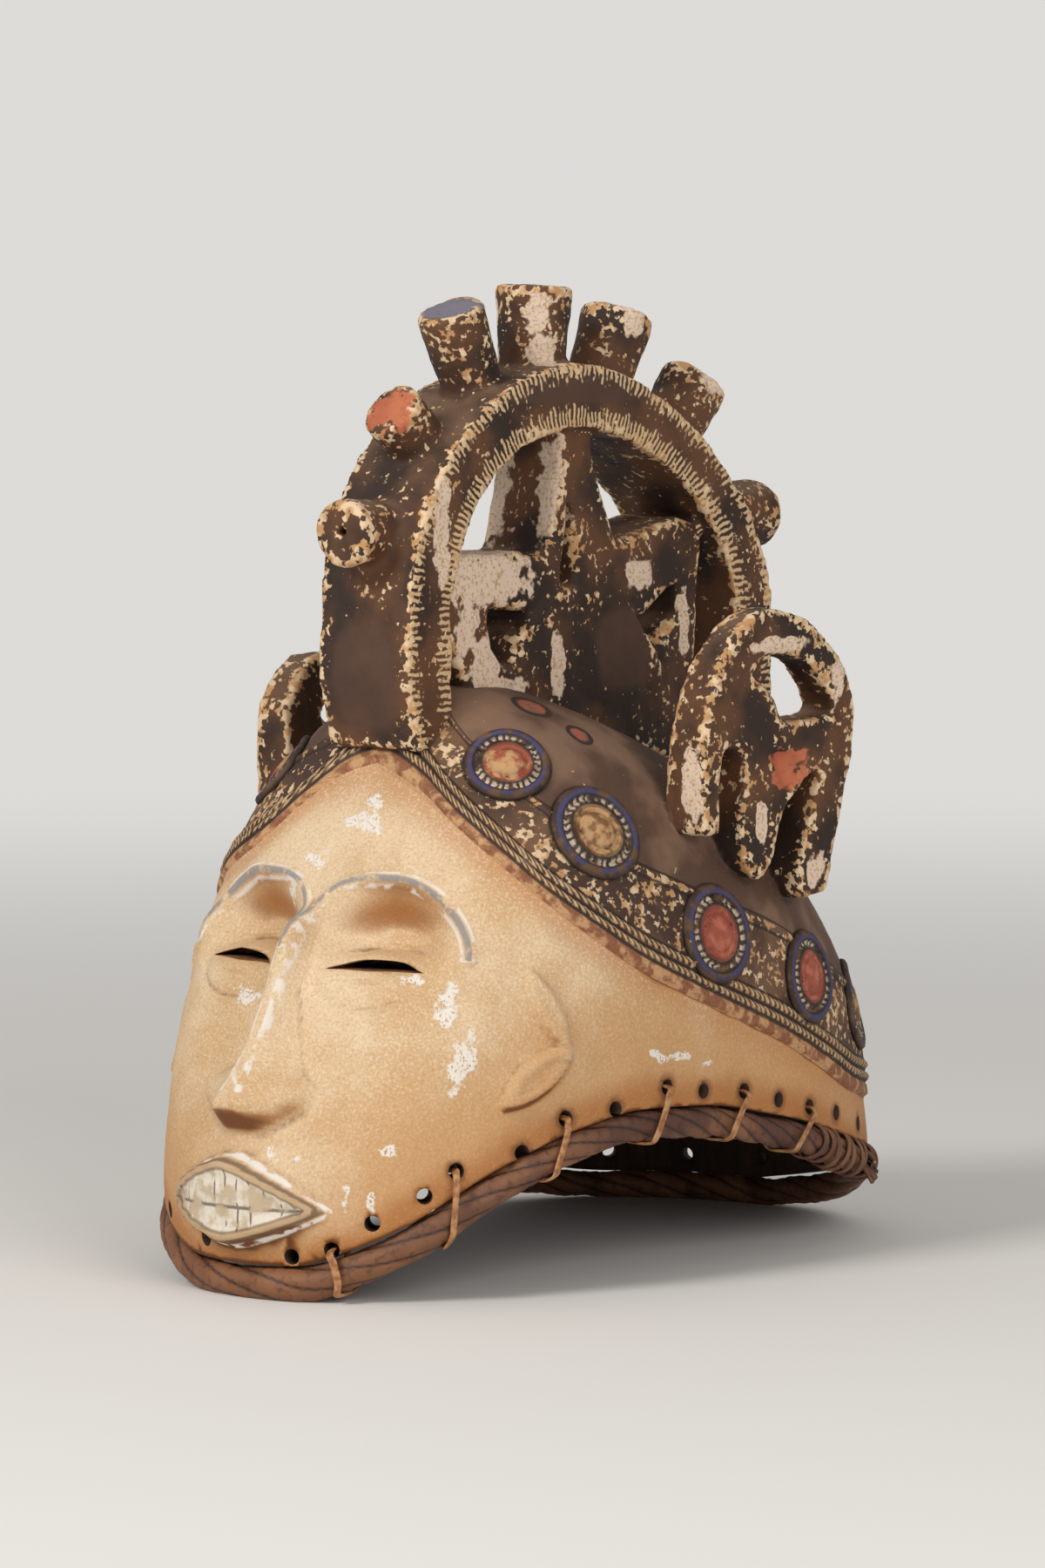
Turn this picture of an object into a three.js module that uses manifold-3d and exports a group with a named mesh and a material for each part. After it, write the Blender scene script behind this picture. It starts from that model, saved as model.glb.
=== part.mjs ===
// Carved and painted wooden helmet mask: a hollow head with a pale face, a plaited cap,
// an arched openwork crest with seven pegs and two side loops, all one block of wood.
// A roll of twisted fibre is tied under its lower edge with strips of split cane.
// Millimetres. +Z is up, the face looks toward -Y, the mask's own left side is +X.
import * as THREE from 'three';
import { mergeVertices } from 'three/addons/utils/BufferGeometryUtils.js';
import { ConvexGeometry } from 'three/addons/geometries/ConvexGeometry.js';
import Module from 'manifold-3d';

const wasm = await Module();
wasm.setup();

const DEG = Math.PI / 180;

// Driving sizes of the head
const WALL = 10.5;
const UNDERSIDE_WIDTH = 16.5;
const CROWN_Z = 243;
const INSIDE_CROWN_Z = 229;
const HOLLOW_BELOW_EDGE = 22;
const FRONT_FULLNESS = 2.6;
const BACK_FULLNESS = 2.4;
const HAIR_RAISED = 2.4;
const RIDGE_HEIGHT = 1.4;
const RIDGE_BAND = 14;
const SMALLEST_STEP = 0.5;
const COLUMNS = 64;
const CAVITY_COLUMNS = 32;
const FRONT_CROWDING = 0.5;
const CAP_ROWS = 6;
const RIDGE_ROWS = 3;
const FACE_ROWS = 14;
const CAVITY_ROWS = 8;

// Level sections of the head from the crown down
const SECTIONS = [
  { z: CROWN_Z, front: -52, back: -52, half: 0, widest: -52 },
  { z: 240, front: -66, back: -28, half: 24, widest: -50 },
  { z: 230, front: -77, back: 2, half: 48, widest: -46 },
  { z: 215, front: -90, back: 36, half: 68, widest: -36 },
  { z: 194, front: -107, back: 74, half: 86, widest: -23 },
  { z: 171, front: -123, back: 101, half: 99, widest: -10 },
  { z: 145, front: -139, back: 125, half: 108, widest: 3 },
  { z: 105, front: -153, back: 152, half: 113, widest: 12 },
  { z: 60, front: -163, back: 167, half: 113, widest: 18 },
  { z: 0, front: -166, back: 176, half: 110, widest: 20 },
  { z: -40, front: -162, back: 174, half: 106, widest: 20 },
];

// Height of the wood's lower edge at angles round the head from the chin, left then right side
const EDGE_LEFT = [[0, 13.8], [7, 14.1], [15, 22.5], [21, 32], [32, 53], [45, 68], [57, 73.5],
  [74, 72], [96, 64], [111, 57], [127, 47], [147, 36], [164, 20], [180, 12.8]];
const EDGE_RIGHT = [[0, 13.8], [7, 14.1], [21, 28], [38, 46], [57, 56], [67, 58],
  [96, 50], [111, 38], [133, 18], [150, 12.8], [180, 12.8]];

// Height of the hairline at the same angles
const HAIR_LEFT = [[0, 213], [12, 209], [24, 202], [33, 188.5], [40.5, 173.5], [48, 155], [55, 141],
  [63, 128.5], [79, 112.5], [101, 94], [116, 79], [131, 65], [155, 56], [180, 54]];
const HAIR_RIGHT = [[0, 213], [9, 210], [15.5, 206], [22, 193], [26.5, 179], [40, 160], [48, 144],
  [55, 131], [63, 120], [79, 105], [101, 88], [116, 74], [131, 62], [155, 55], [180, 54]];

// Crest, side loops and fibre
const CREST_HALF = 25;
const LATTICE_HALF = 19;
const LOOP_OUTER_X = 112;
const LOOP_THICKNESS = 25;
const LOOP_TOE_OUT = 0.05;
const RIGHT_LOOP_SHIFT = -17;
const RIGHT_LOOP_DROP = -24;
const EDGE_BEVEL = 2;
const HOLE_RADIUS = 3.6;
const HOLE_ABOVE_EDGE = 8.5;
const HOLE_SPACING = 24;
const HOLE_SIDES = 5;
const ROLL_RADIUS_CHIN = 7;
const ROLL_RADIUS_SIDE = 6.2;
const CANE_RADIUS = 1.1;
const CANE_CLEARANCE = 2.2;
const CANE_SQUARENESS = 0.36;
const CANE_GAP = 1;
const ROLL_GAP = 1;

// A smooth curve through (x, y) pairs that never overshoots them
function curveThrough(points) {
  const n = points.length;
  const slopes = [];
  for (let i = 0; i < n - 1; i += 1) {
    slopes.push((points[i + 1][1] - points[i][1]) / (points[i + 1][0] - points[i][0]));
  }
  const tangents = points.map((_, i) => {
    if (i === 0) return slopes[0];
    if (i === n - 1) return slopes[n - 2];
    if (slopes[i - 1] * slopes[i] <= 0) return 0;
    return (2 * slopes[i - 1] * slopes[i]) / (slopes[i - 1] + slopes[i]);
  });
  return (x) => {
    let i = 0;
    while (i < n - 2 && x > points[i + 1][0]) i += 1;
    const width = points[i + 1][0] - points[i][0];
    const t = Math.min(1, Math.max(0, (x - points[i][0]) / width));
    const a = (1 + 2 * t) * (1 - t) ** 2;
    const b = t * (1 - t) ** 2;
    const c = t * t * (3 - 2 * t);
    const d = t * t * (t - 1);
    const fromLeft = a * points[i][1] + b * width * tangents[i];
    const fromRight = c * points[i + 1][1] + d * width * tangents[i + 1];
    return fromLeft + fromRight;
  };
}

const sectionCurve = (key) => curveThrough(SECTIONS.map((section, i) => [i, section[key]]));
const section = {
  z: sectionCurve('z'),
  front: sectionCurve('front'),
  back: sectionCurve('back'),
  half: sectionCurve('half'),
  widest: sectionCurve('widest'),
};

// The place down the list of sections that has a given height
function stationAt(z) {
  let low = 0;
  let high = SECTIONS.length - 1;
  for (let i = 0; i < 40; i += 1) {
    const middle = (low + high) / 2;
    if (section.z(middle) > z) low = middle;
    else high = middle;
  }
  return (low + high) / 2;
}

// A point of the plain head, by the angle from the chin (radians, + to the left side) and station
function headPoint(angle, station) {
  const widest = section.widest(station);
  const towardFront = Math.cos(angle) > 0;
  const depth = towardFront ? widest - section.front(station) : section.back(station) - widest;
  const power = towardFront ? FRONT_FULLNESS : BACK_FULLNESS;
  const across = Math.abs(Math.sin(angle)) / Math.max(section.half(station), 0.4);
  const along = Math.abs(Math.cos(angle)) / Math.max(depth, 0.4);
  const radius = (across ** power + along ** power) ** (-1 / power);
  return new THREE.Vector3(
    radius * Math.sin(angle),
    widest - radius * Math.cos(angle),
    section.z(station),
  );
}

function headNormal(angle, station) {
  const step = 0.02;
  const s = Math.max(station, 0.05);
  const around = headPoint(angle + step, s).sub(headPoint(angle - step, s));
  const down = headPoint(angle, s + step).sub(headPoint(angle, s - step));
  return down.cross(around).normalize();
}

const bySide = (left, right) => {
  const leftCurve = curveThrough(left);
  const rightCurve = curveThrough(right);
  return (angle) => {
    const degrees = angle / DEG;
    return degrees >= 0 ? leftCurve(degrees) : rightCurve(-degrees);
  };
};
const edgeHeight = bySide(EDGE_LEFT, EDGE_RIGHT);
const hairHeight = bySide(HAIR_LEFT, HAIR_RIGHT);

const bump = (x, width) => Math.exp(-((x / width) ** 2));
const ramp = (low, high, x) => THREE.MathUtils.smoothstep(x, low, high);

// Nose: ridge and wing corners as (x, height, how far it stands out from the plain head)
const NOSE = [[3, 158, -1], [3, 144, 8], [2.5, 120, 11], [2.5, 98, 14], [3.5, 81, 18],
  [4, 76, 13], [12, 74, 8], [23, 79, 7], [28, 84, 1], [27, 78, 0], [10, 69, 1],
  [8, 150, -4], [12, 120, -3], [30, 82, -6], [12, 68, -6]];

// Mouth: an open lens with its corners level and a taller upper lip
const MOUTH = { halfWidth: 38, lineZ: 37, topZ: 56, bottomZ: 22, standsOut: 11 };
const LIP_RADIUS = 3;

// Eye: a slit cut right through the wall, under an arched brow
const EYE = { innerX: 16, outerX: 59, slitZ: 129.6, slitHeight: 5 };
const BROW = { acrossX: 35, rise: 32, centreX: 38, centreZ: 134, radius: 3 };

// Soft swellings of the face: how far out, their middle, and how wide and tall they spread
const MUZZLE = { out: 17, x: 0, z: 45, wide: 58, tall: 36 };
const CHIN = { out: 5, x: 0, z: 10, wide: 30, tall: 14 };
const CHEEK = { out: 3, x: 62, z: 95, wide: 26, tall: 24 };
const EYELID = { out: 6, x: 37, z: 131, wide: 20, tall: 11 };

// Eye socket: an oval hollow with a steeper side under the brow
const SOCKET = { deep: 14, x: 37, z: 144, halfWidth: 31, above: 21, below: 30 };
const SOCKET_FLOOR = 0.35;
const SOCKET_RIM = 1.12;

const swelling = (form, x, z) => (
  form.out * bump(Math.abs(x) - form.x, form.wide) * bump(z - form.z, form.tall)
);

function socket(x, z) {
  const across = (Math.abs(x) - SOCKET.x) / SOCKET.halfWidth;
  const up = (z - SOCKET.z) / (z > SOCKET.z ? SOCKET.above : SOCKET.below);
  const hollow = -SOCKET.deep * (1 - ramp(SOCKET_FLOOR, SOCKET_RIM, Math.hypot(across, up)));
  return hollow + swelling(EYELID, x, z);
}

// How far the carved face stands out from the plain head at (x, z)
function faceRelief(x, z) {
  return swelling(MUZZLE, x, z) + swelling(CHIN, x, z) + swelling(CHEEK, x, z) + socket(x, z);
}

// The face's carving fades out toward the sides of the head
const faceFade = (angle) => ramp(0.1, 0.5, Math.cos(angle));

function columnAngle(column, columns) {
  const even = (2 * Math.PI * column) / columns;
  const angle = even - FRONT_CROWDING * Math.sin(even);
  return angle > Math.PI ? angle - 2 * Math.PI : angle;
}

// The carved outer surface at a column angle and station
function carvedPoint(angle, station, raised) {
  const point = headPoint(angle, station);
  const relief = raised > 0 ? raised : faceFade(angle) * faceRelief(point.x, point.z);
  return point.addScaledVector(headNormal(angle, station), relief);
}

function closedSolid(geometry) {
  geometry.deleteAttribute('normal');
  geometry.deleteAttribute('uv');
  const merged = mergeVertices(geometry, 1e-4);
  const solid = new wasm.Manifold(new wasm.Mesh({
    numProp: 3,
    vertProperties: new Float32Array(merged.attributes.position.array),
    triVerts: new Uint32Array(merged.index.array),
  }));
  if (solid.isEmpty() || solid.volume() <= 0) throw new Error('a solid is not closed or faces inward');
  return solid;
}

// A ball whose rows and columns are moved to the places given by placeAt(row, column angle)
function mappedBall(columns, rows, placeAt) {
  const ball = new THREE.SphereGeometry(1, columns, rows);
  const position = ball.attributes.position;
  for (let row = 0; row <= rows; row += 1) {
    for (let column = 0; column <= columns; column += 1) {
      const point = placeAt(row, columnAngle(column % columns, columns));
      position.setXYZ(row * (columns + 1) + column, point.x, point.y, point.z);
    }
  }
  return closedSolid(ball);
}

// Outside of the head: cap, raised ridges along the hairline, then the face down to the edge
function headSolid() {
  const rows = CAP_ROWS + RIDGE_ROWS + FACE_ROWS + 2;
  return mappedBall(COLUMNS, rows, (row, angle) => {
    const hairline = stationAt(hairHeight(angle));
    const ridgeTop = stationAt(hairHeight(angle) + RIDGE_BAND * 0.8);
    const edge = stationAt(edgeHeight(angle));
    if (row === 0) return new THREE.Vector3(0, SECTIONS[0].front, CROWN_Z + HAIR_RAISED);
    if (row <= CAP_ROWS) return carvedPoint(angle, (ridgeTop * row) / CAP_ROWS, HAIR_RAISED);
    const below = row - CAP_ROWS;
    if (below <= RIDGE_ROWS) {
      const along = below / RIDGE_ROWS;
      const raised = below === 2 ? HAIR_RAISED : HAIR_RAISED + RIDGE_HEIGHT;
      return carvedPoint(angle, ridgeTop + (hairline - ridgeTop) * along, raised);
    }
    const faceRow = below - RIDGE_ROWS;
    if (faceRow <= FACE_ROWS) {
      const start = hairline + 0.04;
      return carvedPoint(angle, start + ((edge - start) * faceRow) / FACE_ROWS, 0);
    }
    const rim = headPoint(angle, edge);
    if (faceRow === FACE_ROWS + 1) {
      return rim.addScaledVector(headNormal(angle, edge), -UNDERSIDE_WIDTH).setZ(rim.z);
    }
    return new THREE.Vector3(0, 0, CROWN_Z / 4);
  });
}

// Hollow inside: follows the sockets, flat-cut at the crown, open below
function cavitySolid() {
  return mappedBall(CAVITY_COLUMNS, CAVITY_ROWS + 1, (row, angle) => {
    const bottom = stationAt(edgeHeight(angle) - HOLLOW_BELOW_EDGE);
    if (row === 0) return new THREE.Vector3(0, -40, INSIDE_CROWN_Z);
    if (row > CAVITY_ROWS) return new THREE.Vector3(0, 0, -30);
    const station = 0.6 + ((bottom - 0.6) * (row - 1)) / (CAVITY_ROWS - 1);
    const point = headPoint(angle, station);
    const hollowed = Math.max(0, -faceFade(angle) * socket(point.x, point.z));
    point.addScaledVector(headNormal(angle, station), -WALL - hollowed);
    return point.setZ(Math.min(point.z, INSIDE_CROWN_Z));
  });
}

// A flat piece drawn in the side view as (y, z) and given its thickness across the mask
function slab(outline, middleX, thickness, bevel = EDGE_BEVEL, holes = []) {
  const corners = outline.map(([y, z]) => new THREE.Vector2(y, z));
  if (THREE.ShapeUtils.isClockWise(corners)) corners.reverse();
  const shape = new THREE.Shape(corners);
  holes.forEach((hole) => {
    shape.holes.push(new THREE.Path(hole.map(([y, z]) => new THREE.Vector2(y, z))));
  });
  const geometry = new THREE.ExtrudeGeometry(shape, {
    depth: thickness - 2 * bevel,
    bevelEnabled: bevel > 0,
    bevelThickness: bevel,
    bevelSize: bevel,
    bevelOffset: -bevel,
    bevelSegments: 1,
  });
  geometry.translate(0, 0, bevel - thickness / 2);
  geometry.applyMatrix4(new THREE.Matrix4().makeBasis(
    new THREE.Vector3(0, 1, 0),
    new THREE.Vector3(0, 0, 1),
    new THREE.Vector3(1, 0, 0),
  ));
  geometry.translate(middleX, 0, 0);
  return closedSolid(geometry);
}

// Half of a rounded arch from its front foot over the top to its back foot
function archLine(size, steps) {
  const line = [];
  for (let i = 0; i <= steps; i += 1) {
    const turn = (Math.PI * i) / steps;
    const front = turn < Math.PI / 2;
    const reach = front ? size.front : size.back;
    const power = 2 / (front ? size.frontPower : size.backPower);
    const y = size.topY - Math.sign(Math.cos(turn)) * reach * Math.abs(Math.cos(turn)) ** power;
    const z = size.springZ + (size.topZ - size.springZ) * Math.abs(Math.sin(turn)) ** power;
    line.push([y, z]);
  }
  return line;
}

const ARCH_OUTER = {
  topY: 12, topZ: 378, springZ: 275, front: 112, back: 129, frontPower: 2, backPower: 1.65,
};
const ARCH_INNER = {
  topY: 11, topZ: 350.5, springZ: 270, front: 84, back: 105, frontPower: 2.1, backPower: 1.75,
};
const ARCH_FOOT = {
  frontZ: 219, frontOuterY: -94, frontInnerY: -70, backZ: 120, backOuterY: 141, backInnerY: 114,
};

function crestArch() {
  const outer = archLine(ARCH_OUTER, 22);
  const inner = archLine(ARCH_INNER, 18).reverse();
  return slab([
    [ARCH_FOOT.frontOuterY, ARCH_FOOT.frontZ],
    [ARCH_FOOT.frontOuterY - 8, 250],
    ...outer,
    [ARCH_FOOT.backOuterY, 200],
    [ARCH_FOOT.backOuterY - 12, ARCH_FOOT.backZ],
    [ARCH_FOOT.backInnerY - 20, ARCH_FOOT.backZ],
    [ARCH_FOOT.backInnerY, 200],
    ...inner,
    [ARCH_FOOT.frontInnerY - 4, 245],
    [ARCH_FOOT.frontInnerY, ARCH_FOOT.frontZ],
  ].reverse(), 0, 2 * CREST_HALF);
}

// Openwork inside the arch, side view (y, z)
const FRONT_BRANCH = [[-4, 354], [16, 354], [18, 338], [13, 307], [9, 284], [-6, 278],
  [-20, 290], [-20, 299]];
const BACK_BRANCH = [[10, 354], [22, 352], [31, 333], [45, 303], [54, 281], [36, 281],
  [36, 299], [23, 330], [17, 338]];
const FRONT_ARM = [[-76, 299], [-18, 299], [-5, 289], [-4, 273], [-29, 275], [-44, 276], [-78, 272]];
const BACK_ARM = [[34, 303], [44, 302], [88, 311], [100, 305], [99, 289], [88, 282],
  [63, 266], [48, 272], [36, 285]];
const FRONT_LEG = [[-76, 277], [-43, 277], [-41, 260], [-19, 238], [-10, 222], [-52, 222],
  [-53, 238], [-64, 254]];
const BACK_STRUT = [[84, 290], [99, 292], [96, 250], [99, 205], [74, 205], [74, 248],
  [66, 261], [80, 273]];
const HUMP = [[0, 284], [34, 282], [47, 276], [60, 262], [77, 240], [88, 205],
  [-24, 222], [-32, 252], [-25, 264]];
const HUMP_WIDER = 5;
const HUMP_BEVEL = 7;

function latticeWork() {
  return [
    slab(FRONT_BRANCH, 0, 2 * LATTICE_HALF),
    slab(BACK_BRANCH, 0, 2 * LATTICE_HALF),
    slab(FRONT_ARM, 0, 2 * LATTICE_HALF),
    slab(BACK_ARM, 0, 2 * LATTICE_HALF),
    slab(FRONT_LEG, 0, 2 * LATTICE_HALF),
    slab(BACK_STRUT, 0, 2 * LATTICE_HALF),
    slab(HUMP, 0, 2 * LATTICE_HALF + HUMP_WIDER, HUMP_BEVEL),
  ];
}

// Seven pegs round the arch: where each stands and ends in the side view, end and foot radius
const PEGS = [
  { foot: [-84, 309], end: [-115, 309], endRadius: 14.5, footRadius: 12.5 },
  { foot: [-60, 340], end: [-84, 360], endRadius: 13.5, footRadius: 12 },
  { foot: [-29, 362], end: [-46.5, 401], endRadius: 14.5, footRadius: 12.5 },
  { foot: [7, 370], end: [8.5, 410.5], endRadius: 16.5, footRadius: 13.5 },
  { foot: [47, 360], end: [64.5, 398.5], endRadius: 16, footRadius: 13 },
  { foot: [88, 335], end: [118, 371], endRadius: 15.5, footRadius: 13 },
  { foot: [116, 310], end: [159, 311], endRadius: 15.5, footRadius: 14 },
];

function peg({ foot, end, endRadius, footRadius }) {
  const length = Math.hypot(end[0] - foot[0], end[1] - foot[1]);
  const round = 2;
  const geometry = new THREE.LatheGeometry([
    new THREE.Vector2(0, 0),
    new THREE.Vector2(footRadius, 0),
    new THREE.Vector2(endRadius, length - round),
    new THREE.Vector2(endRadius - round, length),
    new THREE.Vector2(0, length),
  ], 12);
  const along = new THREE.Vector3(0, end[0] - foot[0], end[1] - foot[1]).normalize();
  geometry.applyQuaternion(new THREE.Quaternion().setFromUnitVectors(new THREE.Vector3(0, 1, 0), along));
  geometry.translate(0, foot[0], foot[1]);
  return closedSolid(geometry);
}

// Side loop, side view (y, z) on its outer face: an upturned U with a forked piece inside it
const LOOP_OUTLINE = [[-39, 188], [-28, 224], [-14, 255], [-4, 266], [8, 273], [28, 276],
  [50, 272], [68, 264], [80, 252], [88, 234], [88, 205], [77, 178], [68, 154], [47, 154],
  [52, 172], [62, 194], [67, 214], [46, 200], [35, 183], [30, 168], [20, 163], [8, 172],
  [6, 186], [18, 200], [17, 215], [2, 220], [-8, 204], [-13, 184]];
const LOOP_HOLE = [[14, 244], [22, 253], [34, 256], [52, 254], [64, 242], [73, 229],
  [64, 225], [40, 225], [33, 236]];

function sideLoop(side) {
  const outlines = [LOOP_OUTLINE, LOOP_HOLE].map((line) => (
    side > 0 ? line : line.map(([y, z]) => [y + RIGHT_LOOP_SHIFT, z + RIGHT_LOOP_DROP])
  ));
  const middle = LOOP_OUTER_X - LOOP_THICKNESS / 2;
  const loop = slab(outlines[0], 0, LOOP_THICKNESS, EDGE_BEVEL, outlines.slice(1));
  return loop.rotate([0, 0, (-side * LOOP_TOE_OUT) / DEG]).translate([side * middle, 0, 0]);
}

// Round carved ornaments standing in a row above the hairline: angle from the chin, height, radius
const ROUNDELS = [[54, 213, 18], [66, 186, 21], [85, 142, 21],
  [114, 119, 20], [139, 101, 20], [164, 90, 20]];
const RIGHT_ROUNDEL_DROP = 8;
const ROUNDEL_SUNK = 4;

function roundel(degrees, z, radius) {
  const geometry = new THREE.LatheGeometry([
    new THREE.Vector2(0, -ROUNDEL_SUNK),
    new THREE.Vector2(radius, -ROUNDEL_SUNK),
    new THREE.Vector2(radius - 1, 1.6),
    new THREE.Vector2(radius * 0.68, 0.4),
    new THREE.Vector2(radius * 0.5, 1.6),
    new THREE.Vector2(0, 2.2),
  ], 10);
  const angle = degrees * DEG;
  const station = stationAt(z);
  const normal = headNormal(angle, station);
  const centre = headPoint(angle, station).addScaledVector(normal, HAIR_RAISED);
  geometry.applyQuaternion(new THREE.Quaternion().setFromUnitVectors(new THREE.Vector3(0, 1, 0), normal));
  geometry.translate(centre.x, centre.y, centre.z);
  return closedSolid(geometry);
}

// Ear: two short raised strokes meeting in a point that looks backward
const EAR = [[47, 134], [55, 104], [48, 76]];
const EAR_RADIUS = 5.5;

function earStroke(side, from, to) {
  const ends = [from, to].map(([degrees, z]) => headPoint(side * degrees * DEG, stationAt(z)));
  const length = ends[0].distanceTo(ends[1]);
  const stroke = new THREE.SphereGeometry(1, 7, 5);
  stroke.scale(EAR_RADIUS, length / 2 + 3, EAR_RADIUS);
  const along = ends[1].clone().sub(ends[0]).normalize();
  stroke.applyQuaternion(new THREE.Quaternion().setFromUnitVectors(new THREE.Vector3(0, 1, 0), along));
  const middle = ends[0].add(ends[1]).multiplyScalar(0.5);
  stroke.translate(middle.x + side * 1.5, middle.y, middle.z);
  return closedSolid(stroke);
}

// The place on the front of the face at (x, height), moved outward along -Y
function facePlace(x, z, out = 0) {
  const station = stationAt(z);
  const depth = section.widest(station) - section.front(station);
  const across = Math.min(1, Math.abs(x) / section.half(station));
  const forward = depth * (1 - across ** FRONT_FULLNESS) ** (1 / FRONT_FULLNESS);
  return new THREE.Vector3(x, section.widest(station) - forward - out, z);
}

function nose() {
  const corners = NOSE.flatMap(([x, z, out]) => [facePlace(x, z, out), facePlace(-x, z, out)]);
  const ridge = corners.slice(0, 12);
  const lower = corners.slice(4);
  return [ridge.concat(corners.slice(22, 26)), lower].map((points) => (
    closedSolid(new ConvexGeometry(points))
  ));
}

// One lip: a roll of wood from corner to corner of the mouth, bowed up or down in the middle
function lip(middleZ, radius) {
  const steps = 9;
  const points = [];
  for (let i = 0; i <= steps; i += 1) {
    const side = (2 * i) / steps - 1;
    const z = MOUTH.lineZ + (middleZ - MOUTH.lineZ) * (1 - Math.abs(side) ** 1.5);
    const x = side * MOUTH.halfWidth;
    const out = swelling(MUZZLE, x, z) + MOUTH.standsOut * (1 - side ** 2);
    points.push(facePlace(x, z, out - radius + 1.5));
  }
  return tube(points, radius, 3, 10);
}

function tube(points, radius, sides, steps) {
  const ring = new THREE.Shape();
  ring.absarc(0, 0, radius, 0, 2 * Math.PI);
  const path = new THREE.CatmullRomCurve3(points);
  return closedSolid(new THREE.ExtrudeGeometry(ring, {
    steps,
    curveSegments: sides,
    extrudePath: path,
    bevelEnabled: false,
  }));
}

function teeth() {
  const outline = [];
  const steps = 6;
  for (let i = -steps; i <= steps; i += 1) {
    const side = i / steps;
    const rise = (MOUTH.topZ - MOUTH.lineZ) * (1 - Math.abs(side) ** 1.5);
    outline.push([side * MOUTH.halfWidth, MOUTH.lineZ + rise]);
  }
  for (let i = steps - 1; i > -steps; i -= 1) {
    const side = i / steps;
    const fall = (MOUTH.lineZ - MOUTH.bottomZ) * (1 - Math.abs(side) ** 1.5);
    outline.push([side * MOUTH.halfWidth, MOUTH.lineZ - fall]);
  }
  const corners = outline.flatMap(([x, z]) => {
    const full = (MOUTH.standsOut - LIP_RADIUS) * (1 - (x / MOUTH.halfWidth) ** 2);
    const front = swelling(MUZZLE, x, z) + full;
    return [facePlace(x, z, front), facePlace(x, z, -4)];
  });
  return closedSolid(new ConvexGeometry(corners));
}

function brow(side) {
  const points = [];
  for (let degrees = 152; degrees >= -4; degrees -= 26) {
    const x = BROW.centreX + BROW.acrossX * Math.cos(degrees * DEG);
    const z = BROW.centreZ + BROW.rise * Math.sin(degrees * DEG);
    points.push(facePlace(side * x, z, -BROW.radius * 0.2));
  }
  return tube(points, BROW.radius, 3, 8);
}

// Eye slit: a long lens through the wall
function eyeSlit(side) {
  const steps = 8;
  const outline = [];
  for (let i = 0; i <= steps; i += 1) {
    const along = i / steps;
    const x = EYE.innerX + (EYE.outerX - EYE.innerX) * along;
    const z = EYE.slitZ + EYE.slitHeight * Math.sin(Math.PI * along);
    outline.push(new THREE.Vector2(side * x, z));
  }
  if (side < 0) outline.reverse();
  const shape = new THREE.Shape([...outline].reverse());
  const geometry = new THREE.ExtrudeGeometry(shape, { depth: 90, bevelEnabled: false });
  geometry.rotateX(Math.PI / 2);
  geometry.translate(0, -90, 0);
  return closedSolid(geometry);
}

// Where the lower edge runs, as a list of angles an equal distance apart
function anglesAlongEdge(spacing) {
  const fine = 720;
  const angles = [];
  let travelled = spacing / 2;
  let previous = null;
  for (let i = 0; i <= fine; i += 1) {
    const angle = -Math.PI + (2 * Math.PI * i) / fine;
    const point = headPoint(angle, stationAt(edgeHeight(angle)));
    if (previous) travelled += point.distanceTo(previous);
    if (travelled >= spacing) {
      angles.push(angle);
      travelled -= spacing;
    }
    previous = point;
  }
  return angles;
}

function edgePoint(angle) {
  const height = edgeHeight(angle);
  const station = stationAt(height);
  const outward = headNormal(angle, station).setZ(0).normalize();
  const point = headPoint(angle, station);
  const relief = faceFade(angle) * faceRelief(point.x, height);
  return point.addScaledVector(outward, relief - WALL * 0.4);
}

// Middle line of the fibre roll under the wood's edge, with its directions and radius
function rollFrame(angle) {
  const step = 0.02;
  const along = edgePoint(angle + step).sub(edgePoint(angle - step)).normalize();
  const outward = new THREE.Vector3(along.y, -along.x, 0).normalize();
  const up = along.clone().cross(outward).negate();
  const radius = ROLL_RADIUS_SIDE + (ROLL_RADIUS_CHIN - ROLL_RADIUS_SIDE) * bump(angle / DEG, 26);
  const centre = edgePoint(angle).addScaledVector(up, -radius - ROLL_GAP);
  return { centre, along, outward, up, radius };
}

const holePoint = (angle) => headPoint(angle, stationAt(edgeHeight(angle) + HOLE_ABOVE_EDGE));

function edgeHole(angle) {
  const point = holePoint(angle);
  const drill = new THREE.CylinderGeometry(HOLE_RADIUS, HOLE_RADIUS, 70, HOLE_SIDES);
  const { outward } = rollFrame(angle);
  drill.applyQuaternion(new THREE.Quaternion().setFromUnitVectors(new THREE.Vector3(0, 1, 0), outward));
  drill.translate(point.x, point.y, point.z);
  return closedSolid(drill);
}

function fibreRoll() {
  const rounds = 76;
  const sides = 8;
  const ring = new THREE.TorusGeometry(1, 0.1, sides, rounds);
  const position = ring.attributes.position;
  for (let j = 0; j <= sides; j += 1) {
    for (let i = 0; i <= rounds; i += 1) {
      const angle = (2 * Math.PI * (i % rounds)) / rounds - Math.PI;
      const { centre, outward, up, radius } = rollFrame(angle);
      const turn = (2 * Math.PI * (j % sides)) / sides - Math.PI / 2 + Math.PI / sides;
      const point = centre.addScaledVector(outward, radius * Math.cos(turn));
      point.addScaledVector(up, radius * Math.sin(turn));
      position.setXYZ(j * (rounds + 1) + i, point.x, point.y, Math.max(0, point.z));
    }
  }
  return closedSolid(ring);
}

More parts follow.
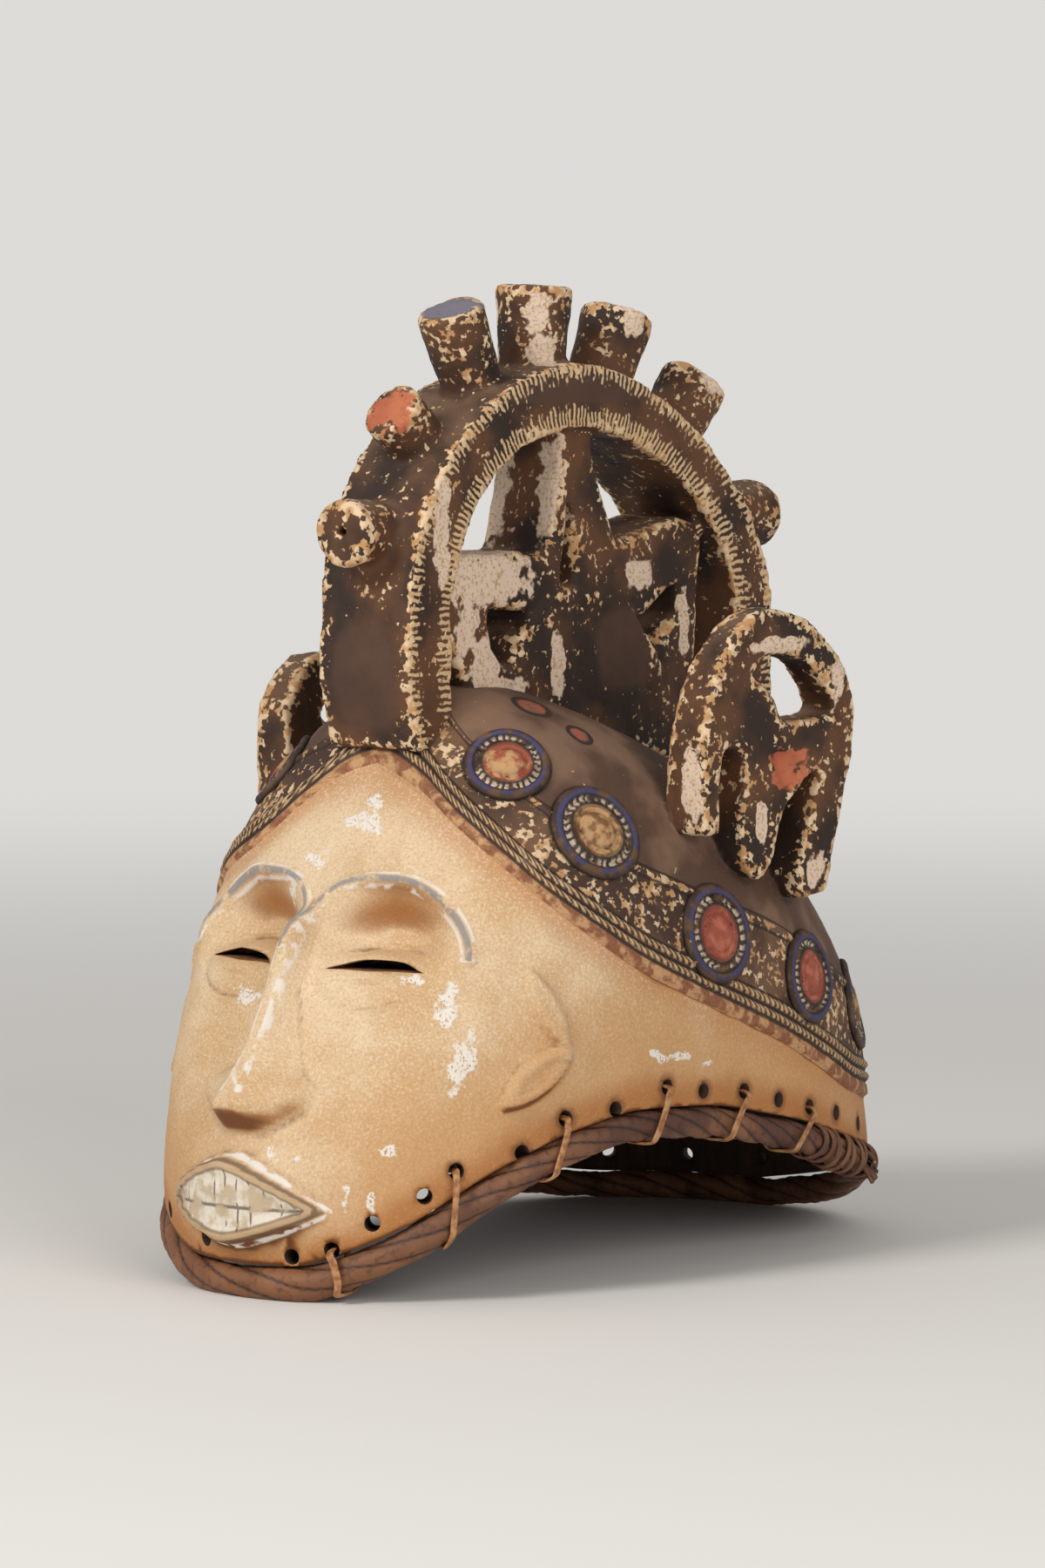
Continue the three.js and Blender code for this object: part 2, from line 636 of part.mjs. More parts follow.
// A cane strip through one hole and slantwise round the wood's edge and the roll
function caneTie(angle, slant) {
  const point = holePoint(angle);
  const { centre, along, outward, up, radius } = rollFrame(angle);
  const low = centre.clone().addScaledVector(up, -radius - CANE_RADIUS - CANE_GAP);
  const reachOf = (place) => place.clone().sub(centre).dot(outward);
  const surface = carvedPoint(angle, stationAt(point.z), 0);
  const outer = Math.max(radius, reachOf(surface)) + CANE_RADIUS + CANE_CLEARANCE;
  const inner = Math.min(-radius, reachOf(point) - WALL) - CANE_RADIUS - CANE_CLEARANCE;
  const top = point.clone().addScaledVector(outward, -reachOf(point));
  const tall = top.clone().sub(low).multiplyScalar(0.5);
  const middle = low.clone().add(tall).addScaledVector(outward, (outer + inner) / 2);
  const wide = (outer - inner) / 2;
  const squared = (value) => Math.sign(value) * Math.abs(value) ** CANE_SQUARENESS;
  const sides = 5;
  const rounds = 16;
  const ring = new THREE.TorusGeometry(1, 0.1, sides, rounds);
  const position = ring.attributes.position;
  for (let j = 0; j <= sides; j += 1) {
    for (let i = 0; i <= rounds; i += 1) {
      const turn = (2 * Math.PI * (i % rounds)) / rounds;
      const around = (2 * Math.PI * (j % sides)) / sides;
      const grow = CANE_RADIUS * Math.cos(around);
      const rise = squared(Math.sin(turn));
      const place = middle.clone();
      place.addScaledVector(outward, wide * squared(Math.cos(turn)) + grow * Math.cos(turn));
      place.addScaledVector(tall, rise).addScaledVector(up, grow * Math.sin(turn));
      place.addScaledVector(along, slant * (1 - rise) / 2 - CANE_RADIUS * Math.sin(around));
      position.setXYZ(j * (rounds + 1) + i, place.x, place.y, place.z);
    }
  }
  return closedSolid(ring);
}

// Loose strip ends tied in a bundle against the rear corner of the roll
const KNOT_ANGLE = 138 * DEG;
const KNOT = { endRadius: 6, footRadius: 8.5, long: 9, taller: 1.45 };

function rearKnot() {
  const { centre, outward, along, radius } = rollFrame(KNOT_ANGLE);
  const tuft = new THREE.CylinderGeometry(KNOT.endRadius, KNOT.footRadius, KNOT.long, 8);
  tuft.scale(1, 1, KNOT.taller);
  const turn = new THREE.Quaternion().setFromUnitVectors(new THREE.Vector3(0, 1, 0), outward);
  tuft.applyQuaternion(turn);
  const place = centre.addScaledVector(outward, radius + 5.2).addScaledVector(along, 2);
  tuft.translate(place.x, place.y, place.z - 3);
  return closedSolid(tuft);
}

const holeAngles = anglesAlongEdge(HOLE_SPACING);
const nearestHole = (degrees) => holeAngles.reduce((best, angle) => (
  Math.abs(angle - degrees * DEG) < Math.abs(best - degrees * DEG) ? angle : best
));
// Each tie: the angle of its hole, and how far it slants toward the chin
const TIES = [[13, -1], [30, -14], [48, -14], [62, -14], [85, -14], [112, -14]];

let mask = headSolid();
[
  crestArch(),
  ...latticeWork(),
  ...PEGS.map(peg),
  sideLoop(1),
  sideLoop(-1),
  ...ROUNDELS.map(([degrees, z, radius]) => roundel(degrees, z, radius)),
  ...ROUNDELS.map(([degrees, z, radius]) => roundel(-degrees, z - RIGHT_ROUNDEL_DROP, radius)),
  ...[1, -1].flatMap((side) => [earStroke(side, EAR[0], EAR[1]), earStroke(side, EAR[1], EAR[2])]),
  ...nose(),
  lip(MOUTH.topZ - LIP_RADIUS / 2, LIP_RADIUS),
  lip(MOUTH.bottomZ + LIP_RADIUS / 2, LIP_RADIUS),
  teeth(),
  brow(1),
  brow(-1),
].forEach((piece) => {
  mask = mask.add(piece);
});
[cavitySolid(), eyeSlit(1), eyeSlit(-1), ...holeAngles.map(edgeHole)].forEach((cutter) => {
  mask = mask.subtract(cutter);
});
mask = mask.simplify(SMALLEST_STEP);

function asMesh(name, solid, color, roughness) {
  const mesh = solid.getMesh();
  const positions = new Float32Array(mesh.numVert * 3);
  for (let i = 0; i < mesh.numVert; i += 1) {
    for (let k = 0; k < 3; k += 1) positions[3 * i + k] = mesh.vertProperties[mesh.numProp * i + k];
  }
  const geometry = new THREE.BufferGeometry();
  geometry.setAttribute('position', new THREE.BufferAttribute(positions, 3));
  geometry.setIndex(new THREE.BufferAttribute(new Uint32Array(mesh.triVerts), 1));
  geometry.computeVertexNormals();
  const material = new THREE.MeshStandardMaterial({ color, roughness, metalness: 0 });
  const result = new THREE.Mesh(geometry, material);
  result.name = name;
  return result;
}

const group = new THREE.Group();
group.name = 'igbo_mask';
group.add(asMesh('carved_mask', mask, 0xc9a878, 0.7));
group.add(asMesh('rim_roll', fibreRoll(), 0x5d3d2a, 0.85));
TIES.forEach(([degrees, slant], i) => {
  group.add(asMesh(`lashing_${i + 1}`, caneTie(nearestHole(degrees), slant), 0xb78350, 0.6));
});
group.add(asMesh('rear_knot', rearKnot(), 0x7a5233, 0.8));

// The frame's origin is under the middle of everything, at the level it stands on
const box = new THREE.Box3().setFromObject(group);
const middle = box.getCenter(new THREE.Vector3());
group.children.forEach((child) => child.geometry.translate(-middle.x, -middle.y, -box.min.z));

export default group;
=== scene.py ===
# %% [markdown]
# # A carved helmet mask with an openwork crest
# The real object is one block of light wood, hollowed to fit over a head. A pale face looks
# forward under a plaited cap, and an arch full of carved branches stands on the cap with a
# loop on each side. A roll of plant fibre is tied under the lower edge with split cane.
# Everything below is built in millimetres from a chin-centred frame, and each finished piece
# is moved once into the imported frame, in metres.

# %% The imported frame
import math

import bmesh
import bpy
import numpy as np
from mathutils import Matrix, Vector


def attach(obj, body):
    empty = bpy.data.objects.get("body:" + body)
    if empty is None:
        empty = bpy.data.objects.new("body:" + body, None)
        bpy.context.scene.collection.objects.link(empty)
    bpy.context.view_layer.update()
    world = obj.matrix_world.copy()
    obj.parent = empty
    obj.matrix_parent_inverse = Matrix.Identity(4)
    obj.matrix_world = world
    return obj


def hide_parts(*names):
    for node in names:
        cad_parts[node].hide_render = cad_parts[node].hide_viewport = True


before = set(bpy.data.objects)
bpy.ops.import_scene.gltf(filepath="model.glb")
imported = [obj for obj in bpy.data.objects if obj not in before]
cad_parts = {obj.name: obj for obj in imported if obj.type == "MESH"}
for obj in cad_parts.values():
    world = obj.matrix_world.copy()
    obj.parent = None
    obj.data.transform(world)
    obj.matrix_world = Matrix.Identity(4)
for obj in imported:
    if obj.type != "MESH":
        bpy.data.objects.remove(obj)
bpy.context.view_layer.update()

# %% [markdown]
# ## Camera, floor and light
# A camera placed by eye never quite lines up. Its distance and height come from the
# photograph's own perspective: it stands about 2.8 m away, level with the top of the crest,
# and looks a little down. A long lens then fills the frame. Plain studio light does the
# rest: one broad soft light from the upper left, a broader and weaker one from the right,
# and a pale surround. A floor that simply ended would draw a line behind the object, so its
# paint fades into the surround with distance, as a curved paper backdrop does in a studio.

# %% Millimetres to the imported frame
MM = 0.001
FRAME_SHIFT = Vector((-1.004, 7.551, 0.0))
INTO_FRAME = Matrix.Scale(MM, 4) @ Matrix.Translation(FRAME_SHIFT)


def placed(x, y, z):
    return INTO_FRAME @ Vector((x, y, z))


# %% Camera
VIEW_AZIMUTH = math.radians(40.2)
VIEW_PITCH = math.radians(4.4)
LENS = 149
CAMERA_PLACE = (1778.9, -2104.1, 411)
scene = bpy.context.scene
camera = bpy.data.objects.new("camera", bpy.data.cameras.new("camera"))
scene.collection.objects.link(camera)
camera.location = placed(*CAMERA_PLACE)
camera.rotation_euler = (math.pi / 2 - VIEW_PITCH, 0, VIEW_AZIMUTH)
camera.data.lens = LENS
camera.data.clip_start = 0.05
camera.data.clip_end = 60
scene.camera = camera
print("camera at", [round(v, 3) for v in camera.location])

# %% Floor
FLOOR_RADIUS = 14
bm = bmesh.new()
bmesh.ops.create_circle(bm, cap_ends=True, segments=96, radius=FLOOR_RADIUS)
floor_mesh = bpy.data.meshes.new("floor")
bm.to_mesh(floor_mesh)
bm.free()
floor = bpy.data.objects.new("floor", floor_mesh)
scene.collection.objects.link(floor)

# %% Floor paint that fades into the backdrop
BACKDROP = (0.72, 0.71, 0.69, 1)
FADE_FROM, FADE_TO = 0.5, 2.6

floor_paint = bpy.data.materials.new("pale_floor")
floor_paint.use_nodes = True
floor_nodes, floor_links = floor_paint.node_tree.nodes, floor_paint.node_tree.links
floor_shader = floor_nodes["Principled BSDF"]
floor_shader.inputs["Base Color"].default_value = (0.84, 0.83, 0.81, 1)
floor_shader.inputs["Roughness"].default_value = 0.8
here = floor_nodes.new("ShaderNodeTexCoord")
distance = floor_nodes.new("ShaderNodeVectorMath")
distance.operation = "LENGTH"
floor_links.new(here.outputs["Object"], distance.inputs[0])
fade = floor_nodes.new("ShaderNodeMapRange")
fade.interpolation_type = "SMOOTHSTEP"
fade.inputs["From Min"].default_value = FADE_FROM
fade.inputs["From Max"].default_value = FADE_TO
floor_links.new(distance.outputs["Value"], fade.inputs["Value"])
paper = floor_nodes.new("ShaderNodeEmission")
paper.inputs["Color"].default_value = BACKDROP
seen = floor_nodes.new("ShaderNodeLightPath")
share = floor_nodes.new("ShaderNodeMath")
share.operation = "MULTIPLY"
floor_links.new(fade.outputs["Result"], share.inputs[0])
floor_links.new(seen.outputs["Is Camera Ray"], share.inputs[1])
blend = floor_nodes.new("ShaderNodeMixShader")
floor_links.new(share.outputs[0], blend.inputs[0])
floor_links.new(floor_shader.outputs[0], blend.inputs[1])
floor_links.new(paper.outputs[0], blend.inputs[2])
floor_links.new(blend.outputs[0], floor_nodes["Material Output"].inputs["Surface"])
floor_mesh.materials.append(floor_paint)


# %% Lights
LIT_PLACE = (0, 0, 0.2)
ROOM_LIGHT = 0.55


def soft_light(name, position, size, power, colour):
    light = bpy.data.objects.new(name, bpy.data.lights.new(name, "AREA"))
    light.data.shape = "DISK"
    light.data.size = size
    light.data.energy = power
    light.data.color = colour
    light.location = position
    aim = Vector(LIT_PLACE) - Vector(position)
    light.rotation_euler = aim.to_track_quat("-Z", "Y").to_euler()
    scene.collection.objects.link(light)
    return light


soft_light("key", (-0.35, -2.2, 1.75), size=0.9, power=36, colour=(1.0, 0.97, 0.93))
soft_light("fill", (2.3, -0.9, 1.2), size=1.6, power=24, colour=(1.0, 0.97, 0.94))

surround = bpy.data.worlds.new("surround")
surround.use_nodes = True
sky_nodes, sky_links = surround.node_tree.nodes, surround.node_tree.links
room = sky_nodes["Background"]
room.inputs["Color"].default_value = BACKDROP
room.inputs["Strength"].default_value = ROOM_LIGHT
paper = sky_nodes.new("ShaderNodeBackground")
paper.inputs["Color"].default_value = BACKDROP
seen = sky_nodes.new("ShaderNodeLightPath")
blend = sky_nodes.new("ShaderNodeMixShader")
sky_links.new(seen.outputs["Is Camera Ray"], blend.inputs[0])
sky_links.new(room.outputs[0], blend.inputs[1])
sky_links.new(paper.outputs[0], blend.inputs[2])
sky_links.new(blend.outputs[0], sky_nodes["World Output"].inputs["Surface"])
scene.world = surround
scene.view_settings.view_transform = "Standard"

# %% [markdown]
# ## Curves and soft steps
# The head is drawn by a few named sizes at a few heights, and smooth curves run through
# them. A spline could overshoot between the points and make a dent, so these curves are
# monotone: they never go past the sizes they join.


# %% Curves, bumps and unevenness
def curve_through(points):
    x, y = np.array(points, float).T
    gaps = np.diff(x)
    slopes = np.diff(y) / gaps
    tangents = np.concatenate(([slopes[0]], np.zeros(len(x) - 2), [slopes[-1]]))
    rising = slopes[:-1] * slopes[1:] > 0
    before, after = slopes[:-1][rising], slopes[1:][rising]
    tangents[1:-1][rising] = 2 * before * after / (before + after)

    def curve(at):
        at = np.clip(at, x[0], x[-1])
        i = np.clip(np.searchsorted(x, at, side="right") - 1, 0, len(x) - 2)
        t = (at - x[i]) / gaps[i]
        from_left = (1 + 2 * t) * (1 - t) ** 2 * y[i] + t * (1 - t) ** 2 * gaps[i] * tangents[i]
        from_right = t * t * (3 - 2 * t) * y[i + 1] + t * t * (t - 1) * gaps[i] * tangents[i + 1]
        return from_left + from_right

    return curve


def ramp(low, high, x):
    t = np.clip((x - low) / (high - low), 0, 1)
    return t * t * (3 - 2 * t)


def bump(x, width):
    return np.exp(-((x / width) ** 2))


def unevenness(points, wavelength, seed, waves=10):
    """Gentle lumps of about one wavelength, roughly from -1 to 1, the same on every run."""
    rng = np.random.default_rng(seed)
    directions = rng.normal(size=(waves, 3))
    directions /= np.linalg.norm(directions, axis=1)[:, None]
    lengths = wavelength * rng.uniform(0.7, 1.5, waves)
    phases = rng.uniform(0, 2 * math.pi, waves)
    turns = points @ (directions / lengths[:, None]).T * 2 * math.pi + phases
    return np.sin(turns).sum(axis=1) * math.sqrt(2 / waves) * 0.5


# %% [markdown]
# ## The head
# It could be sculpted freely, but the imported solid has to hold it, so it is built from the
# same level sections: at each height a rounded outline with its own front, back and
# half width. A point on it is named by its angle round from the chin and its station
# down the list of sections.

# %% Sections of the head
SECTIONS = {
    "z": (243, 240, 230, 215, 194, 171, 145, 105, 60, 0, -40),
    "front": (-52, -66, -77, -90, -107, -123, -139, -153, -163, -166, -162),
    "back": (-52, -28, 2, 36, 74, 101, 125, 152, 167, 176, 174),
    "half": (0, 24, 48, 68, 86, 99, 108, 113, 113, 110, 106),
    "widest": (-52, -50, -46, -36, -23, -10, 3, 12, 18, 20, 20),
}
FRONT_FULLNESS = 2.6
BACK_FULLNESS = 2.4
CROWN_Z = 243
INSIDE_CROWN_Z = 229
WALL = 10.5
section = {key: curve_through(list(enumerate(row))) for key, row in SECTIONS.items()}
station_table = np.linspace(0, len(SECTIONS["z"]) - 1, 4001)
height_table = section["z"](station_table)


def station_at(z):
    return np.interp(-np.asarray(z, float), -height_table, station_table)


def head_point(angle, station):
    widest = section["widest"](station)
    toward_front = np.cos(angle) > 0
    reach = np.where(toward_front, widest - section["front"](station),
                     section["back"](station) - widest)
    power = np.where(toward_front, FRONT_FULLNESS, BACK_FULLNESS)
    across = np.abs(np.sin(angle)) / np.maximum(section["half"](station), 0.4)
    along = np.abs(np.cos(angle)) / np.maximum(reach, 0.4)
    radius = (across**power + along**power) ** (-1 / power)
    return np.stack((radius * np.sin(angle), widest - radius * np.cos(angle),
                     section["z"](station)), axis=-1)


def head_normal(angle, station, step=0.02):
    s = np.maximum(station, 0.05)
    around = head_point(angle + step, s) - head_point(angle - step, s)
    down = head_point(angle, s + step) - head_point(angle, s - step)
    normal = np.cross(down, around)
    return normal / np.linalg.norm(normal, axis=-1, keepdims=True)


def place_on_head(points, rounds=4):
    """Angle and station of the place on the plain head nearest to each point."""
    target = np.array(points, float)
    for _ in range(rounds):
        station = station_at(target[..., 2])
        angle = np.arctan2(target[..., 0], section["widest"](station) - target[..., 1])
        normal = head_normal(angle, station)
        off = ((head_point(angle, station) - target) * normal).sum(-1, keepdims=True)
        target = target + normal * off
    return angle, station


# %% Lower edge and hairline
EDGE_LEFT = ((0, 13.8), (7, 14.1), (15, 22.5), (21, 32), (32, 53), (45, 68), (57, 73.5), (74, 72),
             (96, 64), (111, 57), (127, 47), (147, 36), (164, 20), (180, 12.8))
EDGE_RIGHT = ((0, 13.8), (7, 14.1), (21, 28), (38, 46), (57, 56), (67, 58), (96, 50), (111, 38),
              (133, 18), (150, 12.8), (180, 12.8))
HAIR_LEFT = ((0, 213), (12, 209), (24, 202), (33, 188.5), (40.5, 173.5), (48, 155), (55, 141),
             (63, 128.5), (79, 112.5), (101, 94), (116, 79), (131, 65), (155, 56), (180, 54))
HAIR_RIGHT = ((0, 213), (9, 210), (15.5, 206), (22, 193), (26.5, 179), (40, 160), (48, 144),
              (55, 131), (63, 120), (79, 105), (101, 88), (116, 74), (131, 62), (155, 55), (180, 54))


def by_side(left, right):
    left_curve, right_curve = curve_through(left), curve_through(right)

    def height(angle):
        degrees = np.degrees(angle)
        return np.where(degrees >= 0, left_curve(degrees), right_curve(-degrees))

    return height


edge_height = by_side(EDGE_LEFT, EDGE_RIGHT)
hair_height = by_side(HAIR_LEFT, HAIR_RIGHT)


def hair_slope(angle, step=0.03):
    """How much shorter the distance square to the slanting hairline is than the height over it."""
    ends = [head_point(angle + s, station_at(hair_height(angle + s))) for s in (-step, step)]
    rise = ends[1][..., 2] - ends[0][..., 2]
    return np.sqrt(1 - (rise / np.linalg.norm(ends[1] - ends[0], axis=-1)) ** 2)


print("lower edge runs from", EDGE_LEFT[0][1], "mm at the chin to", max(h for _, h in EDGE_LEFT))

# %% [markdown]
# ## The face as heights over the plain head
# A carver leaves wood standing where the nose, the lips and the brows will be. The same can
# be said with heights: a number, in millimetres, for how far the face stands out from the
# plain head at each (x, z). Heights keep the whole face one skin with soft passages, where
# separate noses and lips pushed together would show hard seams.

# %% Broad forms and eye sockets
MUZZLE = dict(out=17, x=0, z=45, wide=58, tall=36)
CHIN = dict(out=5, x=0, z=10, wide=30, tall=14)
CHEEK = dict(out=3, x=62, z=95, wide=26, tall=24)
EYELID = dict(out=14, x=35.5, z=134.5, wide=21, tall=12)
LID_CREASE = dict(deep=2.2, half_width=25, half_height=14, below=1.5)
SOCKET = dict(deep=18.5, x=36, z=148, half_width=33, above=21, below=31)
EYE = dict(inner_x=15, outer_x=58, slit_z=132.4, slit_height=4.4)
BROW = dict(centre_x=36.5, centre_z=137, across=36.5, rise=32, inner_power=3, outer_power=1.75)


def swelling(form, x, z):
    return (form["out"] * bump(np.abs(x) - form["x"], form["wide"])
            * bump(z - form["z"], form["tall"]))


def broad_forms(x, z):
    return swelling(MUZZLE, x, z) + swelling(CHIN, x, z) + swelling(CHEEK, x, z)


def socket_depth(x, z):
    across = (np.abs(x) - SOCKET["x"]) / SOCKET["half_width"]
    up = (z - SOCKET["z"]) / np.where(z > SOCKET["z"], SOCKET["above"], SOCKET["below"])
    return SOCKET["deep"] * (1 - ramp(0.35, 1.12, np.hypot(across, up)))


def brow_distance(x, z):
    """Distance from the middle line of the arched brow, large below the brow's ends."""
    aside = np.abs(x) - BROW["centre_x"]
    power = np.where(aside < 0, BROW["inner_power"], BROW["outer_power"])
    across = np.abs(aside) / BROW["across"]
    up = np.maximum(z - BROW["centre_z"], 0) / BROW["rise"]
    reach = np.maximum((across**power + up**power) ** (1 / power), 0.2)
    slope = reach ** (1 - power) * np.hypot(across ** (power - 1) / BROW["across"],
                                            up ** (power - 1) / BROW["rise"])
    distance = (reach - 1) / np.maximum(slope, 0.01)
    return distance + np.sign(distance) * 3 * np.maximum(BROW["centre_z"] - z, 0)


def lid_crease(x, z):
    """A shallow groove all round the swollen lids."""
    across = (np.abs(x) - EYELID["x"]) / LID_CREASE["half_width"]
    up = (z - EYELID["z"] + LID_CREASE["below"]) / LID_CREASE["half_height"]
    return LID_CREASE["deep"] * bump(np.hypot(across, up) - 1.05, 0.15)


def slit_line(x):
    along = np.clip((np.abs(x) - EYE["inner_x"]) / (EYE["outer_x"] - EYE["inner_x"]), 0, 1)
    return EYE["slit_z"] + EYE["slit_height"] * np.sin(np.pi * along) * 0.5, np.sin(np.pi * along)


# %% Nose
WING_RAISED = 4.2
NOSE_RIDGE = curve_through(((60, 0), (65, 1.5), (70, 10), (74, 18), (77, 18.8), (98, 14.5),
                            (120, 11), (144, 8), (158, 0), (164, 0)))
NOSE_TOP = curve_through(((58, 3), (70, 6.5), (76, 5), (80, 3.6), (98, 2.6), (158, 3), (170, 4)))
NOSE_FOOT = curve_through(((58, 5), (62, 8), (70, 18.5), (76, 25.5), (80, 29), (83, 28.5), (90, 20),
                           (100, 14.5), (112, 10.5), (125, 7.5), (150, 5.5), (165, 5)))


def nose_height(x, z):
    top, foot = NOSE_TOP(z), NOSE_FOOT(z)
    side = np.clip((np.abs(x) - top) / (foot - top), 0, 1)
    wing = WING_RAISED * bump(np.abs(x) - 20.5, 6.5) * bump(z - 81.5, 6)
    return NOSE_RIDGE(z) * (1 - side) ** 1.15 + wing * (1 - ramp(0.8, 1.2, np.abs(x) / foot))


# %% Mouth
MOUTH = dict(half_width=38, line_z=37, top_z=56, bottom_z=22, stands_out=11)
LIP = 3.6
TOOTH = 5.4


def mouth_inside(x, z):
    """Distance inside the outline of the mouth: positive inside, negative outside."""
    share = np.clip(1 - (np.abs(x) / MOUTH["half_width"]) ** 1.5, -0.3, 1)
    rise = (MOUTH["top_z"] - MOUTH["line_z"]) * share
    fall = (MOUTH["line_z"] - MOUTH["bottom_z"]) * share
    return np.where(z > MOUTH["line_z"], rise - (z - MOUTH["line_z"]),
                    fall - (MOUTH["line_z"] - z)) * 0.85


def mouth_height(x, z):
    inside = mouth_inside(x, z)
    full = MOUTH["stands_out"] * np.clip(1 - (x / (MOUTH["half_width"] + 3)) ** 2, 0, 1)
    lips = ramp(-2.2, 1.0, inside)
    sunk = 2.2 * ramp(LIP - 0.8, LIP + 0.8, inside)
    between = 1.0 * bump((np.mod(x / TOOTH + 0.5, 1) - 0.5) * TOOTH, 0.8)
    line = 1.3 * bump(z - MOUTH["line_z"], 0.9)
    teeth = (between + line) * ramp(LIP, LIP + 1.5, inside)
    return lips * full - sunk * lips - teeth


# %% Ears: two leaves that meet in a point
EAR_RAISED = 4.2
EAR_LEAVES = (((39.5, 133), (44.2, 100.5), 3.8), ((44.8, 101.5), (33.5, 79), 6.0))


def ear_height(points, angle):
    height = np.zeros(len(points))
    for side in (1, -1):
        for start, end, half_width in EAR_LEAVES:
            ends = [head_point(side * math.radians(a), station_at(z)) for a, z in (start, end)]
            middle, length = (ends[0] + ends[1]) / 2, np.linalg.norm(ends[1] - ends[0])
            along_axis = (ends[1] - ends[0]) / length
            normal = head_normal(side * math.radians((start[0] + end[0]) / 2),
                                 station_at((start[1] + end[1]) / 2))
            across_axis = np.cross(normal, along_axis)
            along = (points - middle) @ along_axis / (length / 2)
            across = (points - middle) @ across_axis
            lens = half_width * (1 - np.clip(along, -1, 1) ** 2)
            rim = bump(np.abs(across) - lens * 0.85, 1.7) + 0.8 * bump(across, lens * 0.8 + 0.8)
            near = 1 - ramp(0.92, 1.12, np.abs(along))
            facing = ((points - middle) @ normal) > -12
            height = np.maximum(height, EAR_RAISED * np.minimum(rim, 1) * near * facing)
    return height


# %% All of the face together
def face_height(x, z):
    relief = broad_forms(x, z)
    relief += swelling(EYELID, x, z) - socket_depth(x, z) - lid_crease(x, z)
    relief += nose_height(x, z) + mouth_height(x, z)
    relief += 2.2 * bump(brow_distance(x, z), 2.1)
    slit, open_share = slit_line(x)
    relief += open_share * (1.6 * bump(z - slit - 5.5, 2.4) + 1.8 * bump(z - slit + 3.6, 1.8))
    relief -= open_share * 1.2 * bump(z - slit - 12, 2.0)
    return relief


def face_fade(angle):
    return ramp(0.1, 0.5, np.cos(angle))


# %% [markdown]
# ## The cap
# The cap stands proud of the skin. Along the hairline run a flat strip and two ridges, and
# higher up one raised line parts the band of ornaments from a smooth panel.

# %% Heights of the cap over the plain head
CAP_RAISED = 2.4
STRIP = 6.0
RIDGES = (8.6, 13.6)
BAND_TOP = 47.0


def cap_height(points, angle, above_hair):
    height = CAP_RAISED * ramp(-0.4, 0.9, above_hair)
    for ridge in RIDGES:
        beads = 1 + 0.22 * unevenness(points, 5.5, int(ridge))
        height += 1.5 * bump(above_hair - ridge, 1.7) * beads
    height -= 0.8 * bump(above_hair - 11.1, 0.9) + 0.8 * bump(above_hair - STRIP, 0.8)
    height += 1.3 * bump(above_hair - BAND_TOP, 1.9) * ramp(8, 18, np.degrees(np.abs(angle)))
    scales = unevenness(points, 7, 41) * ramp(15, 20, above_hair)
    height += scales * np.where(above_hair < BAND_TOP, 0.45, 0.15)
    return height


# %% A mesh from an operator's shape, with every vertex moved to its place
KINDS = range(4)
SKIN, CAP, CREST, INSIDE = KINDS


def new_object(name, bm):
    mesh = bpy.data.meshes.new(name)
    bm.to_mesh(mesh)
    bm.free()
    obj = bpy.data.objects.new(name, mesh)
    scene.collection.objects.link(obj)
    return obj


def vertices_of(mesh):
    co = np.empty(len(mesh.vertices) * 3, np.float32)
    mesh.vertices.foreach_get("co", co)
    return co.reshape(-1, 3).astype(float)


def move_vertices(mesh, points):
    mesh.vertices.foreach_set("co", np.ascontiguousarray(points, np.float32).ravel())
    mesh.update()


def set_material_index(mesh, indices):
    mesh.polygons.foreach_set("material_index", np.broadcast_to(
        np.asarray(indices, np.int32), len(mesh.polygons)).copy())


def with_slots(obj, index):
    for _ in KINDS:
        obj.data.materials.append(None)
    set_material_index(obj.data, index)
    return obj


def mapped_ball(name, columns, rows, place_at, crowding):
    """A UV sphere whose rows and columns go where place_at(row, angle) says.

    Crowding brings the columns closer together on the face.
    """
    bm = bmesh.new()
    bmesh.ops.create_uvsphere(bm, u_segments=columns, v_segments=rows, radius=1)
    obj = new_object(name, bm)
    unit = vertices_of(obj.data)
    row = np.rint(np.arccos(np.clip(unit[:, 2], -1, 1)) / math.pi * rows).astype(int)
    even = np.arctan2(unit[:, 0], -unit[:, 1])
    move_vertices(obj.data, place_at(row, even - crowding * np.sin(even)))
    return obj, row


# %% Head: cap rows, ridge rows, then face rows down to the lower edge
HEAD_COLUMNS = 336
CAP_ROWS = 84
RIDGE_ROWS = 15
FACE_ROWS = 112
RIDGE_BAND = 17.5
UNDERSIDE_WIDTH = 16.5
rows_in_all = CAP_ROWS + RIDGE_ROWS + FACE_ROWS + 2


